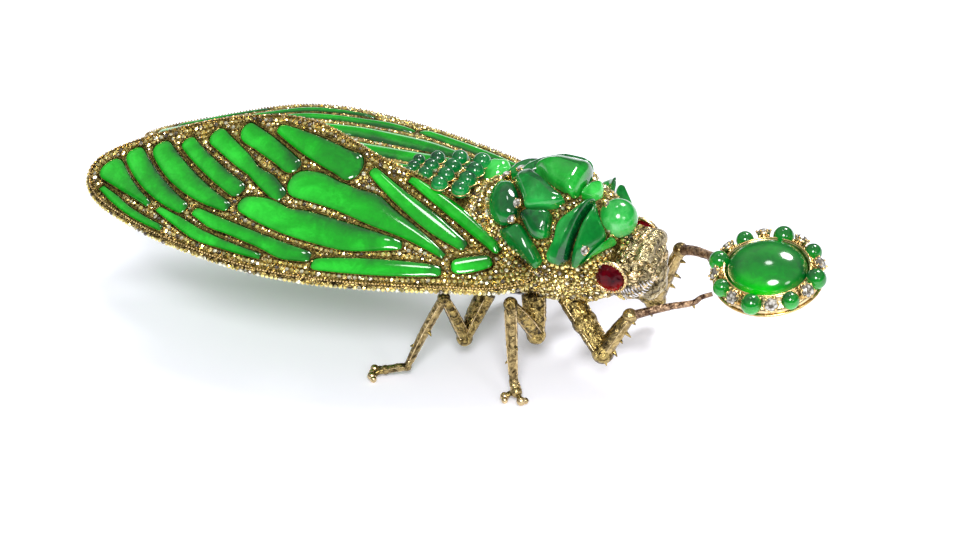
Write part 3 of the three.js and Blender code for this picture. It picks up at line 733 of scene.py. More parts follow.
def jadeStone(heap, stone, far=None):
    # far is [degrees added, share] for the copy on the far side
    outline, spine = (np.array(stone[key], float) for key in ("outline", "spine"))
    height, facet, ridge, roundness = stone["form"]
    base, amount, direction = stone["glow"]
    facing = np.array([math.cos(math.radians(direction)), math.sin(math.radians(direction))])
    if far is not None:
        facing[1] = -facing[1]
        for places in (outline, spine):
            places[:, 1] = -(far[0] + far[1] * places[:, 1])
    rim = catmull(onSkin(outline), 5, closed=True)
    start, end = onSkin(spine)
    share = np.clip(((rim - start) @ (end - start)) / ((end - start) ** 2).sum(), 0, 1)
    crest = start + share[:, None] * (end - start)
    outwards = unit(rim - crest)
    wall, wallReach = thorax["wall"]
    steps = sorted([*thorax["steps"], facet - thorax["crease"], facet + thorax["crease"]])
    layers, glow = [], []
    for k, t in enumerate(steps):
        place = rim + (crest - rim) * t
        dome = math.sqrt(1 - (1 - t) ** 2)
        faceted = wall * min(1.0, math.sqrt(t / wallReach)) + (1 - wall) * min(t / facet, 1.0)
        form = dome * roundness + faceted * (1 - roundness)
        rise = thorax["edge"] + height * thorax["fill"] * form + ridge * max(0, t - facet)
        layers.append(torsoPoint(place[:, 0], place[:, 1] / torso["round"], rise if k else thorax["sunk"]))
        # painted light and shade: the side facing the given direction painted brighter and the other side
        # darker, most near the rim, which is also a little brighter
        glow.append(base + amount * (outwards @ facing) * (1 - t * 0.7) + 0.1 * (1 - t))
    faces = gridFaces(len(steps), len(rim), wrapColumns=True)
    if signedArea(rim) > 0:
        faces = flip(faces)
    heap.put((np.concatenate(layers), faces), 0, True, np.concatenate(glow))
    return rim


islands = []
for name, stone in thorax["pairs"].items():
    for side, far in (("near", None), ("far", stone.get("far", thorax["far"]))):
        heap = Heap()
        islands.append(jadeStone(heap, stone, far))
        heap.make(camel(f"{side}_{name}"), ["bodyJade"], slot="body_jade", stands=[f"{side}_{name}"])
heap = Heap()
islands.append(jadeStone(heap, thorax["shield"]))
heap.make("shieldStone", ["shieldJade"], slot="body_jade", stands=["shield_stone"])
heap = Heap()
for name in ("collarGem", "neckBlade", "paleOval"):
    islands.append(jadeStone(heap, thorax[name]))
islands.append(jadeStone(heap, thorax["neckBlade"], thorax["neckBlade"]["far"]))
heap.make("collarStones", ["shieldJade"], slot="body_jade")
print("thorax stones made")

# Beads in rows across the saddle: x, first y, z, how many, share of the diameter
beads = {
    "rows": [[7.3, -4.2, 34.6, 4, 1.0], [2.6, -3.6, 34.5, 4, 0.94], [-1.7, -0.7, 34.3, 3, 0.84],
             [-5.2, -0.9, 33.9, 3, 0.7]],
    "diameter": 3.6, "pitch": 0.96, "paintedGlowFrom": [0.2, -0.6, -0.75],
}
beadPlaces = []
for x, first, z, count, share in beads["rows"]:
    diameter = beads["diameter"] * share
    beadPlaces += [(x, first + i * diameter * beads["pitch"], z, diameter / 2) for i in range(count)]


def bead(heap, centre, radius, across=28, down=18):
    points, faces = roundForm(centre, [radius] * 3, across, down)
    outward = (points - np.array(centre)) / radius
    # painted light: the bead is painted brighter on its lower near side and a little darker on top
    glow = 0.34 + 0.34 * np.clip(outward @ np.array(beads["paintedGlowFrom"]), -0.3, 1) - 0.05 * outward[:, 2]
    heap.put((points, faces), 0, True, glow)


heap = Heap()
for *centre, radius in beadPlaces:
    bead(heap, centre, radius)
heap.make("abdomenBeads", ["beadJade"], slot="body_jade")

# Body casting: skin, hinge cheeks and catch, bead collets, small stones
casting = {
    "region": [[-10, -58], [13, -58], [15, -150], [39.3, -150], [39.3, 150], [15, 150], [13, 58], [-10, 58]],
    "tiers": [0.48, 0.4, 0.33, 0.26, 0.2], "attempts": 14000, "grain": 0.15, "pitch": 1.04, "beside": -0.7,
    "collet": [1.02, 0.25, 0.16],  # share of a bead's radius outwards and down, radius of the wire
    "hole": 0.9,  # share of a bead's radius that the small stones keep off
    # a pale band on the first collar, and a yellow strip along the back in front
    "paleHalf": 1.8, "stripFrom": 30, "stripHalf": 4,
}
hinge = {
    "pivot": [30, 0, 11.2], "tip": [8, 0, 9.3], "inner": 1.3, "outer": 2.3, "half": 1.3, "fork": [0.75, 1.45],
}


def blockForm(low, high, bevel=0.15):
    # a block with its edges taken off, as stacked outlines
    (x0, y0, z0), (x1, y1, z1) = low, high
    points = []
    for z, inset in ((z0, bevel), (z0 + bevel, 0), (z1 - bevel, 0), (z1, bevel)):
        points += [(x0 + inset, y0 + inset, z), (x1 - inset, y0 + inset, z), (x1 - inset, y1 - inset, z),
                   (x0 + inset, y1 - inset, z)]
    return points, flip(gridFaces(4, 4, wrapColumns=True)) + [(3, 2, 1, 0), (12, 13, 14, 15)]


def hingeAndCatch(heap):
    (px, _, pz), (tx, _, tz) = hinge["pivot"], hinge["tip"]
    half, root = hinge["half"], torso["belly"] + 1.5
    arch = [(px + half * math.cos(a), pz - half * math.sin(a)) for a in np.linspace(0, math.pi, 13)]
    arch += [(px - half, root), (px + half, root)]
    count = len(arch)
    for side in (-1, 1):
        low, high = sorted((side * hinge["inner"], side * hinge["outer"]))
        points = [(x, y, z) for y in (low, high) for x, z in arch]
        faces = [tuple(range(count)), tuple(reversed(range(count, 2 * count)))]
        faces += [(j, j + count, (j + 1) % count + count, (j + 1) % count) for j in range(count)]
        heap.put((points, faces), 2, False)
        low, high = sorted(side * reach for reach in hinge["fork"])
        heap.put(blockForm((tx + 1, low, tz - 0.8), (tx + 3, high, torso["belly"] + 3)), 2, False)


def bodyCasting():
    heap = Heap()
    along = np.concatenate([np.linspace(torso["tail"], 10, 90), np.linspace(10.4, torso["front"], 70)])
    around = np.linspace(-math.pi, math.pi, 97)[:-1] * torso["round"]
    count = len(around)
    faces = gridFaces(len(along), count, wrapColumns=True)
    faces.append(tuple(reversed(range(count))))
    faces.append(tuple(range((len(along) - 1) * count, len(along) * count)))
    heap.put((torsoSkin(*np.meshgrid(along, around, indexing="ij")).reshape(-1, 3), faces))
    holes = list(islands)
    reach, drop, wire = casting["collet"]
    for x, y, z, radius in beadPlaces:
        collet = rings([(radius * reach, radius * reach, -radius * drop)], 20) + [x, y, z]
        heap.put(sweep(collet, wire, 5, closed=True), 1)
        sine = np.clip(y / (torsoRow(x)[0] * torso["width"] / 2), -1, 1)
        holes.append(circle(radius * casting["hole"]) + [x, -math.asin(sine) * torso["round"]])
    hingeAndCatch(heap)
    holes += [circle(thorax["diamondRadius"]) + place for place in onSkin(thorax["diamonds"])]
    seeds = [offsetRow(rim, casting["beside"], casting["pitch"]) for rim in islands]
    stones = fillRegion(onSkin(casting["region"]), holes, casting["tiers"], casting["attempts"], seeds)
    band = np.abs(stones[:, 0] - torso["collars"][0][0]) < casting["paleHalf"]
    strip = (stones[:, 0] > casting["stripFrom"]) & (np.abs(stones[:, 1]) < casting["stripHalf"])
    for chosen, shares in ((band, "pale"), (strip, "yellow"), (~band & ~strip, "mixed")):
        setStones(heap, torsoSkin, fromAxis, stones[chosen], (3, 4), casting["grain"], shares)
    print(len(stones), "stones on the body")
    # the skin takes the darker bed gold, painted shade between the small stones
    heap.make("bodyCasting", ["bedGold", "grainGold", "oldGold", "smallStone", "grainGold"], stands=["body"])


bodyCasting()


def gemForm(radius, sides=8):
    # a cut stone seen from its crown: table, star facets, girdle and a short pavilion
    levels = [(0.5, 0.42, 0.0), (0.8, 0.25, 0.5), (1.0, 0.0, 0.0), (0.6, -0.5, 0.5)]
    sized = [(radius * share, radius * share, radius * height, shift) for share, height, shift in levels]
    return rings(sized, sides), [tuple(range(sides))] + ringWalls(len(levels), sides, alternate=True)


def stand(points, place, normal):
    # turns a form made along z so that it stands along a normal
    normal = unit(normal)
    side = unit(np.cross(normal, np.array([1.0, 0.0, 0.0])))
    return np.asarray(points) @ np.array([np.cross(side, normal), side, normal]) + np.array(place)


def setDiamond(heap, place, normal, radius, claws=4, sides=16):
    # finishes 0 to 2 are gold, clear stone and grains
    cup = [(0.6, -1.2 * radius), (0.95, -0.36 * radius), (1.14, 0.0), (1.0, 0.05), (0.9, -0.1)]
    points = rings([(radius * share, radius * share, z) for share, z in cup], sides)
    heap.put((stand(points, place, normal), gridFaces(len(cup), sides, wrapColumns=True)))
    points, faces = gemForm(radius * 0.98)
    heap.put((stand(points + [0, 0, radius * 0.12], place, normal), faces), 1, False, 0.4, (0.97, 0.96, 0.93))
    for k in range(claws):
        angle = 2 * math.pi * k / claws + 0.4
        spot = [radius * math.cos(angle), radius * math.sin(angle), radius * 0.2]
        points, faces = roundForm(spot, [radius * 0.2] * 3, 8, 6)
        heap.put((stand(points, place, normal), faces), 2)


heap = Heap()
for place, normal in zip(*surfaceFrames(torsoSkin, onSkin(thorax["diamonds"]), fromAxis)):
    setDiamond(heap, place + normal * thorax["diamondRise"], normal, thorax["diamondRadius"])
    heap.put(sweep([place - normal * 0.5, place + normal * 1.5], 0.6))
heap.make("thoraxDiamonds", ["grainGold", "clearStone", "grainGold"])

points, faces = roundForm(crown["place"], [crown["radius"]] * 3, crown["across"], crown["down"])
# painted light: the ball is painted brighter on its lower near side and darker on the other
light = (points - np.array(crown["place"])) @ np.array(crown["paintedGlowFrom"]) / crown["radius"]
makePiece("crownBall", points, faces, ["paleJade"], slot="pale_jade", stands=["crown_ball"],
          glow=0.45 + 0.35 * light)
print("body, beads and ball made")

# Head: a hammered nugget with a ruby in each side
head = {
    "centre": [41.6, 0, 22.2], "radii": [5.2, 8.0, 6.0],
    "face": [44.2, 0, 19.8], "faceRadii": [3.4, 4.6, 4.6],
    "brow": [44.6, 3.4, 26.4, 1.9], "ruby": [39.3, 7.9, 23.5], "rubyRadii": [3.1, 2.0, 2.88], "nuggets": 210,
    "ribs": 17, "ribPitch": 0.62, "rubyGrains": 26, "rimReach": 0.3,
    "knocks": [(0.5, 0.55), (0.25, 1.7)], "faceKnocks": [(0.5, 0.6), (0.22, 1.9)],  # amount, scale
    "nuggetsAlong": [8.5, 17.0], "nuggetsRound": [-16, 16], "nuggetSizes": [0.45, 1.0],
    "rimWire": [0.25, 0.42], "rimGrain": [0.62, 0.3],  # place outwards, radius
    "stoneRegion": [[4.2, -15.0], [9.6, -15.0], [9.6, 15.0], [4.2, 15.0]],
    "stoneTiers": [0.55, 0.45, 0.35, 0.25],
    # ruby rings from the table to the back: share of the radius, share outwards, shift
    "rubyLevels": [(0.0, 0.9, 0.0), (0.42, 0.88, 0.0), (0.72, 0.66, 0.5), (0.93, 0.36, 0.0), (1.0, 0.05, 0.5),
                   (0.9, -0.4, 0.0)],
    "rubySides": 14,
}


def headSkin(u, v):
    # u runs from the neck to the face and v round the head, both in millimetres on a ball of radius 6
    a, b = u / 6.0, v / 6.0
    shape = np.stack([-np.cos(a), -np.sin(a) * np.sin(b), np.sin(a) * np.cos(b)], -1)
    return np.array(head["centre"]) + np.array(head["radii"]) * shape


def fromHead(points):
    return points - np.array(head["centre"])


def rough(form, centre, *knocks):
    # knocks a smooth form about with noise, outwards from its centre, by [amount, scale]
    points, faces = form
    for amount, scale in knocks:
        shift = np.array([noise.noise(Vector(p * scale)) for p in points])
        points = points + unit(points - np.array(centre)) * (shift * amount)[:, None]
    return points, faces


def onSide(levels, count, side):
    # rings that face sideways, round the ruby of one side
    x, y, z = head["ruby"]
    return rings(levels, count)[:, [0, 2, 1]] * [1, side, 1] + [x, side * y, z]


def headCasting():
    heap = Heap()
    skull = roundForm(head["centre"], head["radii"], 64, 44)
    heap.put(rough(skull, head["centre"], *head["knocks"]))
    muzzle = roundForm(head["face"], head["faceRadii"], 48, 32)
    heap.put(rough(muzzle, head["face"], *head["faceKnocks"]))
    x, y, z, radius = head["brow"]
    path = [(x, y * share + out, z + rise) for share, out, rise in (
        (-1, -1.0, -0.8), (-1, 0, 0), (-0.5, 0, 0.2), (0, 0, 0.3), (0.5, 0, 0.2), (1, 0, 0), (1, 1.0, -0.8))]
    heap.put(rough(sweep(catmull(path, 6), radius * 0.92, 20), (x, 0, z), (0.3, 0.8)))
    for k in range(head["nuggets"]):
        spot = np.array([[chance.uniform(*head["nuggetsAlong"]), chance.uniform(*head["nuggetsRound"])]])
        (here,), (normal,) = surfaceFrames(headSkin, spot, fromHead)
        size = chance.uniform(*head["nuggetSizes"])
        nugget = roundForm((0, 0, 0), [size, size * chance.uniform(0.6, 1), size * 0.6], 10, 8)
        points, faces = rough(nugget, (0, 0, 0), (size * 0.3, 1.4 + 0.1 * k))
        heap.put((stand(points, here - normal * size * 0.1, normal), faces), int(chance.integers(0, 2)))
    rx, ry, rz = head["rubyRadii"]
    reach = head["rimReach"]
    (wireOut, wire), (grainOut, grain) = head["rimWire"], head["rimGrain"]
    for side in (-1, 1):
        # ribs under the jaw, then a rim and grains round the ruby
        for k in range(head["ribs"]):
            u = 6.5 + head["ribPitch"] * k + np.linspace(0, 1.2, 8)
            line = np.column_stack([u, side * np.linspace(9.6, 15.2, 8)])
            here, normal = surfaceFrames(headSkin, line, fromHead)
            heap.put(sweep(here + normal * 0.18, np.linspace(0.26, 0.1, 8), 6), 2)
        rim = onSide([(rx + reach, rz + reach, wireOut)], 40, side)
        heap.put(sweep(rim, wire, 8, closed=True, up=(0, 1, 0)), 1)
        for spot in onSide([(rx + reach, rz + reach, grainOut)], head["rubyGrains"], side):
            heap.put(roundForm(spot, [grain] * 3, 8, 6), 3)

    def clear(places):
        # small stones keep off the body and the rubies
        spots = headSkin(places[:, 0], places[:, 1])
        aside = (spots[:, [0, 2]] - [head["ruby"][0], head["ruby"][2]]) / [rx + 1.2, rz + 1.2]
        return ~insideTorso(spots, 0.3) & (np.linalg.norm(aside, axis=1) > 1)

    def lifted(u, v):
        return headSkin(u, v) + 0.06 * fromHead(headSkin(u, v))
    stones = fillRegion(np.array(head["stoneRegion"]), [], head["stoneTiers"], 3000, allowed=clear)
    setStones(heap, lifted, fromHead, stones, (4, 3))
    heap.make("headCasting", ["nuggetGold", "paleGold", "silver", "grainGold", "smallStone"], stands=["head"])


def rubyEye(name, side):
    heap = Heap()
    rx, ry, rz = head["rubyRadii"]
    levels, sides = head["rubyLevels"], head["rubySides"]
    points = onSide([(rx * share, rz * share, ry * out, shift) for share, out, shift in levels], sides, side)
    x, z = (points[:, 0] - head["ruby"][0]) / rx, (points[:, 2] - head["ruby"][2]) / rz
    # painted light: the ruby is painted brighter towards its bottom and its outer rim
    glow = 0.16 + 0.5 * np.clip(-z, 0, 1) ** 1.2 + 0.25 * np.clip(np.hypot(x, z) - 0.6, 0, 1)
    faces = ringWalls(len(levels), sides)
    heap.put((points, flip(faces) if side < 0 else faces), 0, False, glow)
    heap.make(f"{name}Ruby", ["ruby"], slot="ruby", stands=[f"{name}_ruby_eye"])


headCasting()
rubyEye("near", -1)
rubyEye("far", 1)
print("head and rubies made")

# Legs: joints as in the solid, with thorns [bone, share along it, direction, length]
legs = {
    "middle": {"joints": [[23.4, -8.6, 16.4, 2.7], [24.3, -10.6, 8.6, 1.9], [21.9, -16, 18.6, 1.4],
                          [23.3, -19.9, 3.6, 0.95], [24.1, -20.8, 1.9, 1.15]],
               "toes": [[-2.1, -0.9], [1.5, -1.3]],
               "thorns": [[2, 0.5, [0.7, -0.4, -0.3], 1.1], [2, 0.72, [-0.7, -0.3, -0.3], 0.9]]},
    "hind": {"joints": [[13.2, -8.2, 14.6, 2.5], [9.6, -12, 5.6, 1.6], [7.8, -16, 17.1, 1.25],
                        [1, -20.6, 2.6, 0.9], [-3.2, -21.6, 1.6, 0.95]],
             "toes": [[-2.6, 0.5], [-2.1, -1.9]],
             "thorns": [[2, 0.45, [0.6, -0.5, -0.3], 1.0], [2, 0.7, [-0.6, -0.4, 0.2], 0.9]]},
    "nearFront": {"joints": [[29.8, -7, 16.6, 2.6], [34, -9, 12.6, 2.5], [38.6, -11.6, 8.2, 2.2],
                             [43.2, -8.2, 15.4, 1.5]],
                  "shin": [[43.2, -8.2, 15.4, 0.95], [46.8, -6.7, 16.4, 0.8], [50.4, -5, 17.1, 0.72],
                           [54.2, -3.4, 17.7, 0.6], [55.8, -2.8, 18.9, 0.5], [57.8, -2.0, 19.6, 0.45]],
                  "thorns": [[1, 1.0, [0.5, -0.5, -0.8], 1.0], [2, 0.22, [0.8, -0.3, -0.7], 1.3],
                             [2, 0.5, [0.8, -0.5, -0.5], 0.9], [2, 0.64, [0.9, -0.1, -0.4], 1.3],
                             [2, 0.92, [0.9, -0.3, -0.2], 0.9]],
                  "spurs": [[1, [0.4, -0.2, -1], 0.6], [3, [0.5, -0.2, -1], 0.7]]},
    "farFront": {"joints": [[29.8, 7, 16.6, 2.6], [34.4, 9.6, 11, 2.5], [39.7, 12.1, 5.6, 2.2],
                            [45.2, 13, 17.8, 1.5]],
                 "shin": [[45.2, 13, 17.8, 1.15], [48.8, 11.4, 19.3, 1.0], [52.2, 9.6, 20.2, 0.9],
                          [55.2, 8.0, 21.2, 0.8], [57.8, 7.0, 22.3, 0.7]],
                 "thorns": [[2, 0.35, [0.9, 0.2, -0.4], 1.1], [2, 0.55, [0.95, 0.1, -0.3], 1.3],
                            [2, 0.8, [0.9, 0.1, -0.1], 1.0]],
                 "spurs": [[2, [0.3, -0.2, -1], 0.8]]},
    "toe": 0.9025, "boneShare": 0.87, "boneFlat": 0.86, "boneBow": 0.03, "seams": [0.3, 2.6, 4.4],
    "knock": (0.16, 1.6), "shinKnock": (0.1, 2.2),  # amount, scale
}


def bone(heap, start, end, which):
    (*a, r0), (*b, r1) = start, end
    a, b = np.array(a), np.array(b)
    t = np.linspace(0, 1, 26)
    swell = np.sin(np.pi * t)
    radii = (r0 + (r1 - r0) * t) * legs["boneShare"] * (1 + 0.1 * swell)
    bow = legs["boneBow"] * np.linalg.norm(b - a)
    path = a + (b - a) * t[:, None] + np.array([0, 0, 1.0]) * (bow * swell)[:, None]
    heap.put(rough(sweep(path, radii, 18, flat=legs["boneFlat"]), (a + b) / 2, legs["knock"]), which)
    heap.put(roundForm(b, [r1 * 1.02] * 3, 18, 12), which)
    # raised seams with notches down the bone
    ahead = unit(b - a)
    side = unit(np.cross(ahead, (0, 0, 1.0)))
    above = np.cross(side, ahead) * legs["boneFlat"]
    for turn in legs["seams"]:
        away = side * math.cos(turn) + above * math.sin(turn)
        line = path[2:-2] + away[None] * (radii[2:-2] * 0.97)[:, None]
        heap.put(sweep(line, 0.14 + 0.05 * np.cos(np.arange(len(line)) * 2.6), 6), 1)


def thorn(heap, place, direction, length, radius=0.42):
    t = np.linspace(0, 1, 7)
    bend = np.array([0, 0, -0.25 * length])
    path = np.array(place) + unit(direction) * (t * length)[:, None] + bend * (t ** 2)[:, None]
    heap.put(sweep(path, radius * (1 - t) ** 0.7 + 0.04, 8))


def legCasting(node, leg, side=1):
    heap = Heap()
    joints = leg["joints"]
    for k, (start, end) in enumerate(zip(joints, joints[1:])):
        bone(heap, start, end, 0 if k < 2 else 3)
    for index, share, direction, length in leg["thorns"]:
        a, b = np.array(joints[index]), np.array(joints[index + 1])
        *at, radius = a + (b - a) * share
        thorn(heap, at + unit(direction) * radius * 0.7, direction, length)
    if "shin" in leg:
        shin = np.array(leg["shin"], float)
        path = catmull(shin, 8)
        heap.put(rough(sweep(path[:, :3], path[:, 3], 14), shin[2, :3], legs["shinKnock"]), 2)
        for index, direction, length in leg["spurs"]:
            thorn(heap, shin[index, :3] + np.array(direction) * shin[index, 3] * 0.6, direction, length, 0.35)
    ankle = np.array(joints[-1][:3])
    for dx, dy in leg.get("toes", ()):
        tip = np.array([ankle[0] + dx, ankle[1] + dy, legs["toe"]])
        heap.put(sweep([ankle, (ankle + tip) / 2 + [0, 0, 0.2], tip], [0.75, 0.55, 0.55]))
        heap.put(roundForm(tip, [legs["toe"]] * 3, 18, 12), 1)
        aside = np.array([-dy, dx, 0]) / math.hypot(dx, dy)
        heap.put(roundForm(tip + aside * 0.9 + [0, 0, -0.25], [0.66] * 3, 14, 10), 1)
    if side < 0:
        heap.points = [points * np.array([1, -1, 1]) for points in heap.points]
        heap.faces = flip(heap.faces)
    heap.make(camel(node), ["oldGold", "paleGold", "shinGold", "shankGold"], stands=[node])


for name in ("middle", "hind"):
    legCasting(f"near_{name}_leg", legs[name])
    legCasting(f"far_{name}_leg", legs[name], -1)
legCasting("near_front_leg", legs["nearFront"])
legCasting("far_front_leg", legs["farFront"])
print("legs made")

# Cluster held in the front legs
cluster = {
    "place": [67.3, 3.0, 23.4], "lean": 14.0, "length": 19.6, "width": 18.2,
    "bigBead": 2.05, "smallBead": 1.75, "diamond": 1.35,  # radii
    "plate": 2.2, "rise": 0.4, "stone": [15.6, 13.8, 4.6], "count": 16, "seat": 0.3,
    "rim": 0.6, "bezelGrains": 40, "domeRings": 26, "around": 72,
    "wire": 0.26, "bezelWire": 0.2, "grain": 0.3, "sideGrain": 0.36,  # radii
    "ribs": [(1.5, 0.15), (4, 0.3), (6.6, 0.35)],  # reach and radius of each rib on the back
}


def onCluster(points):
    lean = math.radians(cluster["lean"])
    c, s = math.cos(lean), math.sin(lean)
    x, y, z = np.asarray(points, float).T
    return np.column_stack([x, y * c - z * s, y * s + z * c]) + np.array(cluster["place"])


def ovalStack(levels):
    # rings of [half length, half width, height] joined into a turned form on the cluster
    faces = gridFaces(len(levels), cluster["around"], wrapColumns=True)
    return onCluster(rings(levels, cluster["around"])), flip(faces)


def clusterMount():
    heap, beadHeap, wire = Heap(), Heap(), Heap()
    half, wide = cluster["length"] / 2 + cluster["rim"], cluster["width"] / 2 + cluster["rim"]
    low, rise = -cluster["plate"], cluster["rise"]
    a, b = (size / 2 + cluster["seat"] for size in cluster["stone"][:2])
    plate = [(3, low + 0.5), (2.6, low), (0.6, low), (0.1, low + 0.5), (0, low + 1.2), (0.4, -0.2),
             (1.6, 0.0)]
    bezel = [(0.75, 0.1), (0.7, 1.1), (0.3, 1.45), (0.02, 1.3), (-0.1, 0.3)]
    levels = [(0.01, 0.01, low + 0.5)] + [(half - inset, wide - inset, z) for inset, z in plate]
    levels += [(a + out, b + out, z) for out, z in bezel] + [(0.01, 0.01, 0.3)]
    heap.put(ovalStack(levels))
    bezelTop = rings([(a + 0.35, b + 0.35, 1.5)], cluster["around"])
    heap.put(sweep(onCluster(bezelTop), cluster["bezelWire"], 8, closed=True), 2)
    for spot in onCluster(rings([(a + 0.75, b + 0.75, 1.0)], cluster["bezelGrains"])):
        heap.put(roundForm(spot, [cluster["grain"]] * 3, 8, 6), 2)
    for k in range(cluster["count"]):
        # ribs on the back
        angle = 2 * math.pi * (k + 0.5) / cluster["count"]
        c, s = math.cos(angle), math.sin(angle) * wide / half
        reaches, radii = zip(*cluster["ribs"])
        line = [[reach * c, reach * s, low + 0.5] for reach in reaches]
        heap.put(sweep(onCluster(line), radii, 8))
    for i in range(cluster["count"]):
        angle = 2 * math.pi * i / cluster["count"]
        c, s = math.cos(angle), math.sin(angle)
        x, y = cluster["length"] / 2 * c, cluster["width"] / 2 * s
        if i % 2 == 0:
            radius = cluster["bigBead"] if i % 4 == 0 else cluster["smallBead"]
            bead(beadHeap, onCluster([[x, y, rise + 0.2]])[0], radius, 32, 20)
            continue
        foot = np.array([x + c * 0.4, y + s * 0.4, rise + 0.7])
        seat, tip = onCluster([foot, foot + [c * 0.75, s * 0.75, 0.66]])
        setDiamond(heap, seat, tip - seat, cluster["diamond"], 6)
        spots = [[x - c * 1.1 - s * shift, y - s * 1.1 + c * shift, rise + 1.1] for shift in (-0.8, 0.0, 0.8)]
        for spot in onCluster(spots):
            heap.put(roundForm(spot, [cluster["sideGrain"]] * 3, 9, 7), 2)
    heap.make("clusterMount", ["paleGold", "clearStone", "grainGold"], stands=["cluster_mount"])
    beadHeap.make("clusterBeads", ["shieldJade"], slot="wing_jade")
    ring = rings([(half + 0.2, wide + 0.2, low + 0.75)], cluster["around"])
    wire.put(sweep(onCluster(ring), cluster["wire"], 10, closed=True))
    wire.make("clusterWire", ["grainGold"])


def clusterStone():
    length, width, height = cluster["stone"]
    a, b, foot = length / 2, width / 2, 0.6
    turns = np.arange(1, cluster["domeRings"]) / cluster["domeRings"] * math.pi / 2
    levels = [(a, b, 0.32), (a, b, foot)]
    levels += [(a * math.cos(t), b * math.cos(t), foot + (height - foot) * math.sin(t)) for t in turns]
    levels.append((0.01, 0.01, height))
    points, faces = ovalStack(levels)
    flat = rings(levels, cluster["around"])
    # painted light: the cabochon is painted brighter towards its near edge, most strongly there, and faintly
    # towards the far edge
    towards = np.clip(-flat[:, 1] / b + 0.12 * flat[:, 0] / a, -1, 1)
    glow = 0.3 + 0.75 * np.clip(towards, 0, 1) ** 2 + 0.12 * np.clip(-towards, 0, 1)
    makePiece("clusterCabochon", points, faces, ["clusterJade"], slot="wing_jade",
              stands=["cluster_cabochon"], glow=glow)


clusterMount()
clusterStone()
print("cluster made")

# Brooch pin under the belly, on its own body: a barrel and an axle, each [half width, radius]
pin = {"radius": 0.45, "barrel": [1.0, 1.0], "axle": [2.25, 0.5], "point": 0.2}


def broochPin():
    heap = Heap()
    pivot, tip = (np.array(hinge[key], float) for key in ("pivot", "tip"))
    t = np.linspace(0, 1, 24)
    point = np.maximum(0.12, (1 - t) / pin["point"] * 0.8)
    radii = pin["radius"] * np.where(t < 1 - pin["point"], 1 - 0.25 * t, point)
    heap.put(sweep(pivot + (tip - pivot) * t[:, None], radii, 14))
    for half, radius in (pin["barrel"], pin["axle"]):
        ends = [(pivot[0], y, pivot[2]) for y in (-half, -half + 0.08, half - 0.08, half)]
        heap.put(sweep(ends, [radius * 0.85, radius, radius, radius * 0.85], 24))
    heap.make("broochPin", ["darkSteel"], slot="steel", body="pin", stands=["brooch_pin"])


broochPin()

